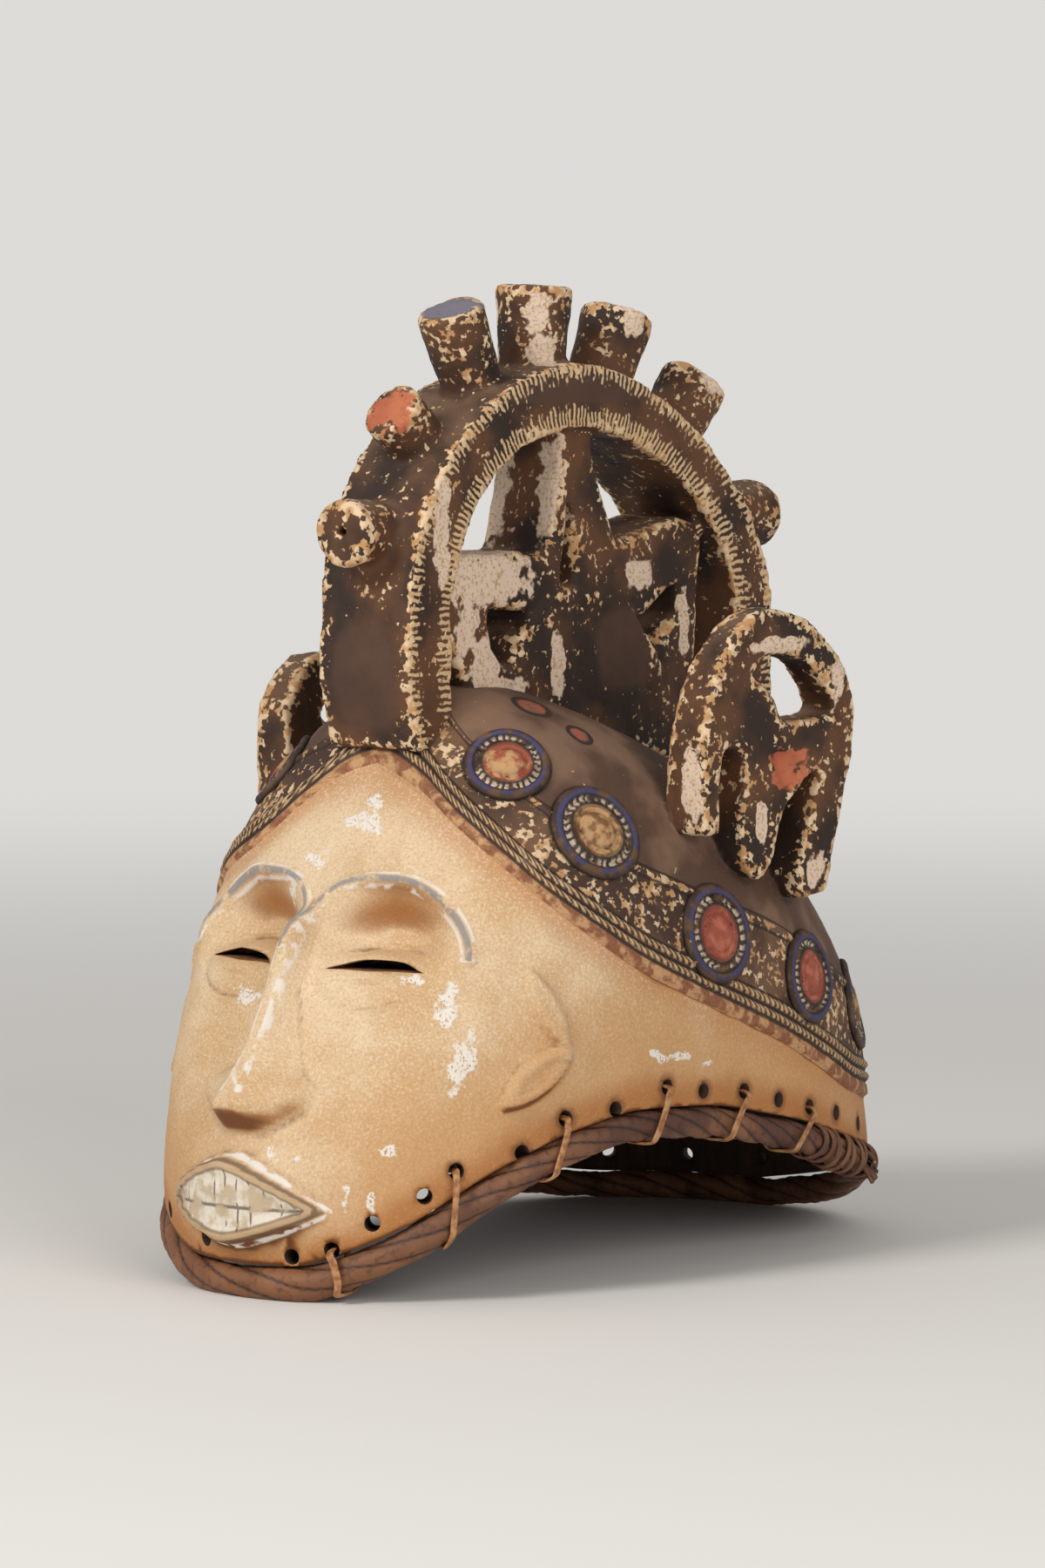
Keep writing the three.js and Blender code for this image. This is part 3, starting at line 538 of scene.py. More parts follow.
def head_place(row, angle):
    hair_z = hair_height(angle)
    hairline = station_at(hair_z)
    ridge_top = station_at(np.minimum(hair_z + RIDGE_BAND / hair_slope(angle), CROWN_Z - 6))
    edge = station_at(edge_height(angle))
    below = row - CAP_ROWS
    face_row = below - RIDGE_ROWS
    station = np.where(row <= CAP_ROWS, ridge_top * row / CAP_ROWS,
                       ridge_top + (hairline - ridge_top) * np.clip(below / RIDGE_ROWS, 0, 1))
    face_share = np.clip((face_row - 0.6) / (FACE_ROWS - 0.6), 0, 1)
    station = np.where(face_row > 0, hairline + 0.02 + (edge - hairline - 0.02) * face_share, station)
    plain = head_point(angle, station)
    normal = head_normal(angle, station)
    above_hair = (plain[:, 2] - hair_z) * hair_slope(angle)
    face = face_fade(angle) * face_height(plain[:, 0], plain[:, 2]) + ear_height(plain, angle)
    face += 0.35 * unevenness(plain, 30, 7) + 0.12 * unevenness(plain, 9, 8)
    relief = np.where(face_row > 0, face, cap_height(plain, angle, above_hair))
    points = plain + normal * relief[:, None]
    rim = face_row == FACE_ROWS + 1
    points[rim] = (plain - normal * UNDERSIDE_WIDTH)[rim]
    points[rim, 2] = plain[rim, 2]
    points[face_row > FACE_ROWS + 1] = (0, 0, CROWN_Z / 4)
    points[row == 0] = (0, SECTIONS["front"][0], CROWN_Z + CAP_RAISED)
    return points


head, head_row = mapped_ball("head", HEAD_COLUMNS, rows_in_all, head_place, crowding=0.56)
face_rows = np.array([head_row[list(p.vertices)].max() for p in head.data.polygons])
with_slots(head, np.where(face_rows <= CAP_ROWS + RIDGE_ROWS, CAP,
                          np.where(face_rows <= CAP_ROWS + RIDGE_ROWS + FACE_ROWS, SKIN, INSIDE)))
print("head:", len(head.data.vertices), "vertices")

# %% [markdown]
# ## Joining and cutting wood
# A boolean keeps the block one closed body, as the real one is. Blender's Manifold solver is
# quick and exact, and it keeps each face's material number.


# %% Boolean helper
def cut(target, other, operation):
    modifier = target.modifiers.new("cut", "BOOLEAN")
    modifier.operation = operation
    modifier.solver = "MANIFOLD"
    modifier.object = other
    applied(target)
    bpy.data.objects.remove(other)
    return target


def applied(obj):
    """Bakes the object's modifiers into its mesh."""
    graph = bpy.context.evaluated_depsgraph_get()
    mesh = bpy.data.meshes.new_from_object(obj.evaluated_get(graph))
    obj.modifiers.clear()
    obj.data = mesh
    return obj


# %% [markdown]
# ## The crest
# The arch, its branches and the loops are all sawn and knifed from the side, so each starts
# as an outline in the side view (y, z). Its corners are rounded, it is extruded across the
# mask and its edges are eased. A voxel remesh then melts the overlapping pieces into one
# skin with the soft inner corners that a knife leaves.


# %% A slab from its side outline
def slab(outline, half, ease=2.2, corner=2.5, middle_x=0.0):
    bm = bmesh.new()
    corners = [bm.verts.new((middle_x - half, y, z)) for y, z in outline]
    face = bm.faces.new(corners)
    bmesh.ops.bevel(bm, geom=corners, offset=corner, offset_type="OFFSET", segments=2,
                    profile=0.5, affect="VERTICES", material=-1, clamp_overlap=True)
    grown = bmesh.ops.extrude_face_region(bm, geom=bm.faces[:])
    moved = [g for g in grown["geom"] if isinstance(g, bmesh.types.BMVert)]
    bmesh.ops.translate(bm, verts=moved, vec=(2 * half, 0, 0))
    bmesh.ops.recalc_face_normals(bm, faces=bm.faces[:])
    rims = [e for e in bm.edges if abs(e.verts[0].co.x - e.verts[1].co.x) < 1e-4]
    bmesh.ops.bevel(bm, geom=rims, offset=ease, offset_type="OFFSET", segments=2,
                    profile=0.5, affect="EDGES", material=-1, clamp_overlap=True)
    bmesh.ops.remove_doubles(bm, verts=bm.verts[:], dist=1e-3)
    return bm


# %% Arch outline
CREST_HALF = 25
LATTICE_HALF = 19
ARCH_OUTER = dict(top_y=12, top_z=378, spring_z=275, front=112, back=129, power=(2, 1.65))
ARCH_INNER = dict(top_y=11, top_z=350.5, spring_z=270, front=84, back=105, power=(2.1, 1.75))


def arch_line(size, steps):
    turn = np.linspace(0, math.pi, steps + 1)
    is_front = turn < math.pi / 2
    reach = np.where(is_front, size["front"], size["back"])
    power = 2 / np.where(is_front, size["power"][0], size["power"][1])
    y = size["top_y"] - np.sign(np.cos(turn)) * reach * np.abs(np.cos(turn)) ** power
    z = size["spring_z"] + (size["top_z"] - size["spring_z"]) * np.abs(np.sin(turn)) ** power
    return list(zip(y.tolist(), z.tolist()))


ARCH_OUTSIDE = [(-94, 219), (-102, 250), *arch_line(ARCH_OUTER, 30), (141, 200), (129, 120)]
ARCH_INSIDE = [(94, 120), (114, 200), *arch_line(ARCH_INNER, 26)[::-1], (-74, 245), (-70, 219)]

# %% Branches inside the arch, side view
FRONT_BRANCH = ((4, 355), (15, 355), (12.5, 338), (10.5, 321), (8, 304), (5, 284), (-6, 278),
                (-20, 290), (-17, 297.5), (-5, 299), (1.5, 321), (4, 340))
BACK_BRANCH = ((12, 355), (23, 354), (27, 338), (33, 320), (41.5, 303), (48, 292), (50, 279),
               (12.5, 279), (13, 304), (13.5, 322), (13.5, 338))
FRONT_ARM = ((-76, 299), (-18, 299), (-5, 289), (-4, 273), (-29, 275), (-44, 276), (-78, 272))
BACK_ARM = ((34, 303), (44, 302), (85, 311.5), (100, 305), (99, 289), (85, 284), (60, 268.5),
            (48, 272), (36, 285))
FRONT_LEG = ((-76, 277), (-43, 277), (-41, 260), (-19, 238), (-10, 222), (-52, 222), (-53, 238),
             (-64, 254))
BACK_STRUT = ((84, 290), (99, 292), (96, 250), (99, 205), (74, 205), (74, 248), (67, 259),
              (83, 270))
HUMP = ((0, 284), (34, 282), (47, 276), (60, 262), (77, 240), (88, 205), (-24, 222), (-32, 252),
        (-25, 264))

# %% Pegs: foot and end in the side view, end and foot radius, how far the end is rounded
PEGS = (((-84, 309), (-115, 309), 14.5, 12.5, 2), ((-60, 340), (-84, 360), 13.5, 12, 2),
        ((-29, 362), (-46.5, 401), 14.5, 12.5, 2), ((7, 370), (8.5, 410.5), 16.5, 13.5, 2),
        ((47, 360), (64.5, 398.5), 16, 13, 2), ((88, 334), (117, 368.5), 15.5, 13, 2),
        ((116, 310), (163, 309.5), 15.5, 14, 5))
NAIL_HOLE = ((-100, 309.5), (-125, 309.5), 2.6, 2.2, 0.2)


def peg(foot, end, end_radius, foot_radius, ease):
    length = math.hypot(end[0] - foot[0], end[1] - foot[1])
    bm = bmesh.new()
    bmesh.ops.create_cone(bm, cap_ends=True, segments=40, radius1=foot_radius,
                          radius2=end_radius, depth=length)
    rim = [e for e in bm.edges if min(v.co.z for v in e.verts) > length / 2 - 1e-3]
    bmesh.ops.bevel(bm, geom=rim, offset=ease, offset_type="OFFSET", segments=3, profile=0.5,
                    affect="EDGES", material=-1)
    turn = Vector((0, 0, 1)).rotation_difference(Vector((0, end[0] - foot[0], end[1] - foot[1])))
    bmesh.ops.rotate(bm, verts=bm.verts[:], matrix=turn.to_matrix())
    bmesh.ops.translate(bm, verts=bm.verts[:],
                        vec=(0, (foot[0] + end[0]) / 2, (foot[1] + end[1]) / 2))
    return bm


# %% Side loops
LOOP_OUTLINE = ((-13, 183), (-13, 223), (-9, 243), (-4, 254), (8, 268), (20, 275.5), (36, 276),
                (51, 271.5), (67, 261), (78, 249), (83, 233), (82.5, 215), (77, 196), (71, 176),
                (65, 155), (48, 153), (45.5, 163), (48.5, 174), (55.5, 193), (61, 209), (49, 203),
                (40, 193.5), (34.5, 184), (31, 171), (22, 162), (11.5, 170), (9.5, 185), (12, 204),
                (10.5, 217), (0, 220), (-3, 203), (-2, 183))
LOOP_EYE = ((16, 249), (26, 256.5), (39, 257.5), (54, 252), (64, 243), (72, 232), (63, 229.5),
            (37, 228), (33, 237), (26, 243))
LOOP_NICHE = ((27, 218), (53, 213), (38, 200.5))
NICHE_DEPTH = 4
LOOP_OUTER_X = 112
LOOP_THICKNESS = 25
LOOP_TOP_THICKNESS = 15
LOOP_THINS_FROM = 190
LOOP_TOP = 276
LOOP_TOE_OUT = 0.05
RIGHT_LOOP_SHIFT = (-34, -24)
RIGHT_LOOP_LEAN = 10


def side_loop(side):
    shift = (0, 0) if side > 0 else RIGHT_LOOP_SHIFT
    lean = 0 if side > 0 else RIGHT_LOOP_LEAN
    lines = [[(y + shift[0] - lean * ramp(222, 262, z), z + shift[1]) for y, z in line]
             for line in (LOOP_OUTLINE, LOOP_EYE, LOOP_NICHE)]
    half = LOOP_THICKNESS / 2
    loop = new_object("loop", slab(lines[0], half))
    eye = slab(lines[1], LOOP_THICKNESS, ease=0.5)
    niche = slab(lines[2], NICHE_DEPTH, ease=0.8, corner=1.0, middle_x=side * half)
    cut(loop, new_object("eye", eye), "DIFFERENCE")
    cut(loop, new_object("niche", niche), "DIFFERENCE")
    place = vertices_of(loop.data)
    up = np.clip((place[:, 2] - shift[1] - LOOP_THINS_FROM) / (LOOP_TOP - LOOP_THINS_FROM), 0, 1)
    share = 1 + (LOOP_TOP_THICKNESS / LOOP_THICKNESS - 1) * up
    place[:, 0] = side * (half - (half - side * place[:, 0]) * share)
    move_vertices(loop.data, place)
    turn = Matrix.Rotation(-side * LOOP_TOE_OUT, 4, "Z")
    loop.data.transform(Matrix.Translation((side * (LOOP_OUTER_X - half), 0, 0)) @ turn)
    return loop


# %% Crest joined and melted
crest = new_object("crest", slab(ARCH_OUTSIDE + ARCH_INSIDE, CREST_HALF, ease=3, corner=0.5))
for line in (FRONT_BRANCH, BACK_BRANCH, FRONT_ARM, BACK_ARM, FRONT_LEG, BACK_STRUT):
    cut(crest, new_object("branch", slab(line, LATTICE_HALF, ease=2.6)), "UNION")
cut(crest, new_object("hump", slab(HUMP, LATTICE_HALF + 2.5, ease=6.5, corner=4)), "UNION")
for one in PEGS:
    cut(crest, new_object("peg", peg(*one)), "UNION")
cut(crest, new_object("nail_hole", peg(*NAIL_HOLE)), "DIFFERENCE")
for side in (1, -1):
    cut(crest, side_loop(side), "UNION")
print("crest before melting:", len(crest.data.vertices), "vertices")

VOXEL = 1.9
remesh = crest.modifiers.new("melt", "REMESH")
remesh.mode = "VOXEL"
remesh.voxel_size = VOXEL
applied(crest)
print("crest after melting:", len(crest.data.vertices), "vertices")

# %% [markdown]
# A knife leaves no perfectly even surface, and a voxel skin is a little stepped. Two rounds
# of smoothing take the steps away, and small moves along the normals give the wood its
# hand-cut unevenness back.


# %% Soft smoothing and knife marks
def normals_of(mesh):
    no = np.empty(len(mesh.vertices) * 3, np.float32)
    mesh.vertices.foreach_get("normal", no)
    return no.reshape(-1, 3).astype(float)


smooth = crest.modifiers.new("smooth", "SMOOTH")
smooth.factor = 0.5
smooth.iterations = 2
applied(crest)
place = vertices_of(crest.data)
knife = 0.45 * unevenness(place, 17, 21) + 0.2 * unevenness(place, 6.5, 22)
move_vertices(crest.data, place + normals_of(crest.data) * knife[:, None])
with_slots(crest, CREST)

# %% [markdown]
# ## Roundels
# Twelve round ornaments lie in the band over the hairline. Each is a turned profile, spun
# once round, and then bent over the cap so that no rim floats above the curved wood.

# %% Roundels
ROUNDELS = ((54, 213, 18), (66, 186, 21), (85, 142, 21), (114, 119, 20), (139, 101, 20), (164, 90, 20))
RIGHT_ROUNDEL_DROP = 8
ROUNDEL_PROFILE = ((0, 2.5), (0.16, 2.4), (0.3, 2.2), (0.38, 1.8), (0.41, 0.7), (0.47, 0.7),
                   (0.5, 1.8), (0.64, 1.8), (0.67, 0.7), (0.73, 0.7), (0.77, 2.1), (0.86, 2.5),
                   (0.95, 2.1), (1.0, 0.9), (1.0, -4.5), (0, -4.5))


def roundel_places():
    for side, drop in ((1, 0), (-1, RIGHT_ROUNDEL_DROP)):
        for degrees, z, radius in ROUNDELS:
            yield side * math.radians(degrees), z - drop, radius


def level_across(normal):
    """The level direction that lies in the surface with this normal."""
    level = np.cross(normal, (0, 0, 1))
    return level / np.linalg.norm(level)


def roundel(angle, z, radius):
    bm = bmesh.new()
    verts = [bm.verts.new((r * radius, 0, h)) for r, h in ROUNDEL_PROFILE]
    edges = [bm.edges.new(pair) for pair in zip(verts, verts[1:])]
    bmesh.ops.spin(bm, geom=verts + edges, cent=(0, 0, 0), axis=(0, 0, 1), angle=2 * math.pi,
                   steps=48, use_merge=True, use_duplicate=False)
    bmesh.ops.remove_doubles(bm, verts=bm.verts[:], dist=1e-3)
    bmesh.ops.recalc_face_normals(bm, faces=bm.faces[:])
    obj = new_object("roundel", bm)
    local = vertices_of(obj.data)
    station = station_at(z)
    centre, normal = head_point(angle, station), head_normal(angle, station)
    level = level_across(normal)
    flat = centre + local[:, :1] * level + local[:, 1:2] * np.cross(level, normal)
    angles, stations = place_on_head(flat)
    height = local[:, 2:] + CAP_RAISED
    move_vertices(obj.data, head_point(angles, stations) + head_normal(angles, stations) * height)
    return with_slots(obj, CAP)


# %% Head, crest and roundels joined into one block
mask = cut(head, crest, "UNION")
for place_of_one in roundel_places():
    cut(mask, roundel(*place_of_one), "UNION")
mask.name = "mask"
print("joined block:", len(mask.data.vertices), "vertices")

# %% [markdown]
# ## Hollow, eye slits and edge holes
# The hollow follows the outside one wall thickness further in, and keeps that thickness
# behind the sunken eyes. Drilling comes last, as on the real one, so that each hole breaks
# cleanly through the painted skin.

# %% Hollow
CAVITY_COLUMNS = 128
CAVITY_ROWS = 72
HOLLOW_BELOW_EDGE = 22


def cavity_place(row, angle):
    bottom = station_at(edge_height(angle) - HOLLOW_BELOW_EDGE)
    station = 0.6 + (bottom - 0.6) * np.clip((row - 1) / (CAVITY_ROWS - 2), 0, 1)
    plain = head_point(angle, station)
    behind_eyes = face_fade(angle) * socket_depth(plain[:, 0], plain[:, 2])
    adze = 0.5 * unevenness(plain, 22, 61)
    points = plain - head_normal(angle, station) * (WALL + behind_eyes + adze)[:, None]
    points[:, 2] = np.minimum(points[:, 2], INSIDE_CROWN_Z)
    points[row == 0] = (0, -40, INSIDE_CROWN_Z)
    points[row >= CAVITY_ROWS] = (0, 0, -30)
    return points


cavity, _ = mapped_ball("cavity", CAVITY_COLUMNS, CAVITY_ROWS, cavity_place, crowding=0.5)
cut(mask, with_slots(cavity, INSIDE), "DIFFERENCE")


# %% Eye slits
def eye_slit(side):
    share = np.linspace(0, 1, 25)
    x = side * (EYE["inner_x"] + (EYE["outer_x"] - EYE["inner_x"]) * share)
    upper = EYE["slit_z"] + EYE["slit_height"] * np.sin(math.pi * share)
    lower = np.full(23, EYE["slit_z"])
    bm = bmesh.new()
    ring = [bm.verts.new((px, -200, pz)) for px, pz in zip(x, upper)]
    ring += [bm.verts.new((px, -200, pz)) for px, pz in zip(x[-2:0:-1], lower)]
    bm.faces.new(ring)
    grown = bmesh.ops.extrude_face_region(bm, geom=bm.faces[:])
    back = [g for g in grown["geom"] if isinstance(g, bmesh.types.BMVert)]
    bmesh.ops.translate(bm, verts=back, vec=(0, 115, 0))
    bmesh.ops.recalc_face_normals(bm, faces=bm.faces[:])
    return with_slots(new_object("slit", bm), INSIDE)


for side in (1, -1):
    cut(mask, eye_slit(side), "DIFFERENCE")


# %% The line of the lower edge, for holes, roll and ties
HOLE_RADIUS = 3.5
LEFT_HOLES = ((7, 18.5), (12, 22), (17, 33), (23, 44.5), (27, 54), (36, 60.5), (43, 73), (52, 75),
              (64, 82), (74, 78), (87, 75.5), (99, 69.5), (110, 64), (121, 58.5), (133, 51), (145, 44),
              (157, 34), (168, 26), (179, 22))
RIGHT_HOLES = ((5, 22), (16, 29), (25, 40), (34, 50), (44, 59), (55, 65.5), (66, 67), (77, 63),
               (88, 60), (100, 53.5), (112, 45), (124, 36), (137, 27), (150, 21.5), (165, 21))
ROLL_GAP = 1


def edge_frame(angle):
    """Middle, directions and radius of the fibre roll at an angle round the edge."""
    def edge_point(a):
        height = edge_height(a)
        station = station_at(height)
        outward = head_normal(a, station) * (1, 1, 0)
        outward /= np.linalg.norm(outward, axis=-1, keepdims=True)
        plain = head_point(a, station)
        relief = face_fade(a) * broad_forms(plain[..., 0], height)
        return plain + outward * (relief - WALL * 0.4)[..., None]

    along = edge_point(angle + 0.02) - edge_point(angle - 0.02)
    along /= np.linalg.norm(along, axis=-1, keepdims=True)
    outward = np.stack((along[..., 1], -along[..., 0], 0 * along[..., 0]), axis=-1)
    outward /= np.linalg.norm(outward, axis=-1, keepdims=True)
    up = -np.cross(along, outward)
    radius = 6.2 + 0.8 * bump(np.degrees(angle), 26)
    centre = edge_point(angle) - up * (radius + ROLL_GAP)[..., None]
    return centre, along, outward, up, radius


hole_list = LEFT_HOLES + tuple((-degrees, z) for degrees, z in RIGHT_HOLES)
HOLES = np.radians([degrees for degrees, _ in hole_list])
hole_points = head_point(HOLES, station_at([z for _, z in hole_list]))
print(len(HOLES), "holes along the edge")

# %% Edge holes
rng = np.random.default_rng(5)
bm = bmesh.new()
for point, outward in zip(hole_points, edge_frame(HOLES)[2]):
    drill = bmesh.ops.create_cone(bm, cap_ends=True, segments=14, radius1=HOLE_RADIUS * 0.86,
                                  radius2=HOLE_RADIUS, depth=40)["verts"]
    turn = Vector((0, 0, 1)).rotation_difference(Vector(outward))
    bmesh.ops.rotate(bm, verts=drill, matrix=turn.to_matrix())
    bmesh.ops.translate(bm, verts=drill, vec=Vector(point + rng.normal(0, 0.3, 3)))
cut(mask, with_slots(new_object("drills", bm), INSIDE), "DIFFERENCE")
print("cut block:", len(mask.data.vertices), "vertices")

# %% [markdown]
# The block now has more faces than it needs, most of them on broad quiet wood. Decimate by
# collapse takes faces away there first and keeps them where the carving turns.

# %% Fewer faces on the quiet parts
MOST_TRIANGLES = 188000
triangles = sum(len(p.vertices) - 2 for p in mask.data.polygons)
if triangles > MOST_TRIANGLES:
    decimate = mask.modifiers.new("fewer", "DECIMATE")
    decimate.ratio = MOST_TRIANGLES / triangles
    applied(mask)
print("mask:", triangles, "triangles before,", len(mask.data.polygons), "faces now")

# %% [markdown]
# ## The fibre roll
# Dried plant strips are twisted round one another and laid under the edge. One ring, spun
# from a circle, is bent along the edge; the strips are heights on it that run round the
# roll as it goes along, so each strip passes under its neighbour the way a twist does.

# %% Roll
ROLL_STEPS = 640
ROLL_SIDES = 40
STRIPS = 5
TWISTS = 46
GROOVE_DEPTH = 1.1


def ring(name, sides, steps):
    """A closed ring: its vertices give the angle round it and the turn round its section."""
    bm = bmesh.new()
    circle = bmesh.ops.create_circle(bm, cap_ends=False, segments=sides, radius=0.2)["verts"]
    bmesh.ops.rotate(bm, verts=circle, matrix=Matrix.Rotation(math.pi / 2, 3, "X"))
    bmesh.ops.translate(bm, verts=circle, vec=(1, 0, 0))
    bmesh.ops.spin(bm, geom=bm.verts[:] + bm.edges[:], cent=(0, 0, 0), axis=(0, 0, 1),
                   angle=2 * math.pi, steps=steps, use_merge=True, use_duplicate=False)
    bmesh.ops.remove_doubles(bm, verts=bm.verts[:], dist=1e-4)
    bmesh.ops.recalc_face_normals(bm, faces=bm.faces[:])
    obj = new_object(name, bm)
    co = vertices_of(obj.data)
    return obj, np.arctan2(co[:, 0], -co[:, 1]), np.arctan2(co[:, 2], np.hypot(co[:, 0], co[:, 1]) - 1)


def roll_depth(angle, turn):
    """How deep the groove is at each place: 0 on a strip, most between two of them."""
    twist = STRIPS * (turn + TWISTS / STRIPS * angle)
    across = np.mod(twist / (2 * math.pi), 1)
    return GROOVE_DEPTH * np.abs(2 * across - 1) ** 2.4


roll, roll_angle, roll_turn = ring("roll", ROLL_SIDES, ROLL_STEPS)
centre, along, outward, up, radius = edge_frame(roll_angle)
groove = roll_depth(roll_angle, roll_turn)
at_chin = bump(np.degrees(roll_angle) - 2, 24)
place = centre + outward * np.cos(roll_turn)[:, None] + up * np.sin(roll_turn)[:, None]
wander = 0.5 * unevenness(centre, 26, 71) + 0.25 * unevenness(place, 4, 72)
reach = radius + 0.2 - groove * (1 - 0.55 * at_chin) + wander
place = centre + outward * (reach * np.cos(roll_turn))[:, None]
place += up * (reach * np.sin(roll_turn))[:, None]
place[:, 2] = np.maximum(place[:, 2], 0)
move_vertices(roll.data, place)
print("roll:", len(roll.data.vertices), "vertices")

# %% [markdown]
# ## Cane ties
# Each tie is one thin flat strip of split cane. It goes in at a hole, down inside the wall,
# under the roll and up again outside. A wire would look too round and even, so the section
# is a flat one, wider than thick, and each strip has its own slant.

# %% Cane ties
CANE_WIDE = 1.7
CANE_THICK = 0.6
CANE_CLEARANCE = 2.0
TIES = ((12, -1), (27, -14), (43, -14), (64, -12), (87, -12), (110, -14))


def surface_point(angle, z):
    """The place of the carved surface at an angle and height, its small forms left out."""
    station = station_at(z)
    plain = head_point(angle, station)
    broad = face_fade(angle) * broad_forms(plain[..., 0], z)
    return plain + head_normal(angle, station) * broad


def squared(turned):
    """Makes a sine or cosine into the blunter wave of a loop with flat sides."""
    return np.sign(turned) * np.abs(turned) ** 0.42


def flat_section(around, thick, wide):
    """How far each vertex lies off the middle of a flat strip, through it and across it."""
    through = thick * np.sign(np.cos(around)) * np.abs(np.cos(around)) ** 0.6
    return through, wide * np.sign(np.sin(around)) * np.abs(np.sin(around)) ** 0.8


def loop_round_roll(name, angle, point, slant, seed):
    """A flat strip from a point on the wall, round the lower edge and the roll, and back."""
    obj, turn, around = ring(name, 12, 120)
    centre, along, outward, up, radius = edge_frame(angle)
    low = centre - up * (radius + CANE_THICK + 0.5)
    surface = surface_point(angle, point[2])
    outer = max(radius, float((surface - centre) @ outward)) + CANE_CLEARANCE
    inner = min(-radius, float((point - centre) @ outward) - WALL) - CANE_CLEARANCE
    top = point - outward * ((point - centre) @ outward)
    tall = (top - low) / 2
    middle = low + tall + outward * (outer + inner) / 2
    across, rise = np.cos(turn), np.sin(turn)
    lift, side = flat_section(around, CANE_THICK, CANE_WIDE)
    sway = 0.7 * np.sin(3 * turn + seed) + 0.4 * np.sin(5 * turn + 2 * seed)
    places = middle + outward * ((outer - inner) / 2 * squared(across))[:, None]
    places += tall * squared(rise)[:, None]
    places += outward * (lift * across)[:, None] + up * (lift * rise)[:, None]
    shift = slant * (1 - squared(rise)) / 2 + sway * (1 - ramp(0.6, 1, rise)) + side
    places += along * shift[:, None]
    places[:, 2] = np.maximum(places[:, 2], 0.15)
    move_vertices(obj.data, places)
    return obj


ties = []
for number, (degrees, slant) in enumerate(TIES, 1):
    hole = np.abs(HOLES - math.radians(degrees)).argmin()
    ties.append(loop_round_roll(f"tie_{number}", HOLES[hole], hole_points[hole], slant, number))
print("ties:", [t.name for t in ties])

# %% [markdown]
# ## The knot at the rear corner
# Where the roll turns round the rear corner the strips are wound several times round it and
# their loose ends are pushed through and left standing. Separate thin bands and bent ends,
# joined into one piece, give that untidy bundle.

# %% Windings and loose ends
KNOT_ANGLE = math.radians(138)
WINDINGS = (113, 117, 120, 124, 127.5, 131, 134, 137, 140, 144)
LOOSE_ENDS = 6
STRIP_THICK = 0.6
END_THICK = 0.7


def joined(name, parts):
    """One object from several, each left as it is."""
    bm = bmesh.new()
    for part in parts:
        bm.from_mesh(part.data)
        bpy.data.objects.remove(part)
    return new_object(name, bm)


def winding(angle, reach, wide, tilt, seed):
    obj, turn, around = ring("winding", 10, 72)
    centre, along, outward, up, radius = edge_frame(angle)
    lift, side = flat_section(around, STRIP_THICK, wide)
    out = radius + reach + lift + 0.5 * np.sin(2 * turn + seed)
    places = centre + outward * (out * np.cos(turn))[:, None] + up * (out * np.sin(turn))[:, None]
    places += along * (tilt * np.cos(turn + seed) + side)[:, None]
    places[:, 2] = np.maximum(places[:, 2], 0.15)
    move_vertices(obj.data, places)
    return obj


def loose_end(start, direction, length, wide, droop):
    """A flat strip end that leaves the bundle and bends down along its length."""
    bm = bmesh.new()
    bmesh.ops.create_cube(bm, size=1)
    lengthwise = [e for e in bm.edges if abs(e.verts[0].co.x - e.verts[1].co.x) > 0.5]
    bmesh.ops.subdivide_edges(bm, edges=lengthwise, cuts=9)
    obj = new_object("end", bm)
    co = vertices_of(obj.data)
    t = co[:, :1] + 0.5
    side = np.cross(direction, (0, 0, 1.0))
    side /= np.linalg.norm(side)
    flat = np.cross(side, direction)
    width = wide * (1 - 0.5 * t**3)
    bend = np.array((0.0, 0.0, -1.0)) * droop * t**2
    move_vertices(obj.data, start + direction * length * t + bend
                  + side * co[:, 1:2] * 2 * width + flat * co[:, 2:] * 2 * END_THICK)
    return obj


rng = np.random.default_rng(11)
parts = [winding(math.radians(a), 1.2 + rng.uniform(0, 1.4), rng.uniform(1.5, 2.4),
                 rng.uniform(1.5, 4.5), rng.uniform(0, 6)) for a in WINDINGS]
centre, along, outward, up, radius = edge_frame(KNOT_ANGLE)
for _ in range(LOOSE_ENDS):
    spread = rng.uniform(-1.3, 1.3, 2)
    direction = outward + 0.45 * spread[0] * along + 0.35 * (spread[1] - 0.4) * up
    direction /= np.linalg.norm(direction)
    start = centre + outward * 1.5 + along * spread[0] * 2.5 + up * (2 + spread[1] * 2.5)
    parts.append(loose_end(start, direction, rng.uniform(8, 13), rng.uniform(1.8, 2.6),
                           rng.uniform(3, 8)))
knot = joined("knot", parts)
print("knot:", len(knot.data.polygons), "faces")

# %% [markdown]
# ## Where each colour goes
# The painter followed the carving: dark lines lie in grooves, cream flecks cling to edges and
# rings follow the ornaments. So each vertex gets plain numbers, such as its distance from the
# hairline, and the materials turn them into lines and patches. A line made from a distance
# stays sharp between the vertices, where a colour stored on them would blur.


# %% Numbers stored on the vertices
def store(obj, name, values):
    layer = obj.data.attributes.new(name, "FLOAT", "POINT")
    layer.data.foreach_set("value", np.ascontiguousarray(values, np.float32))


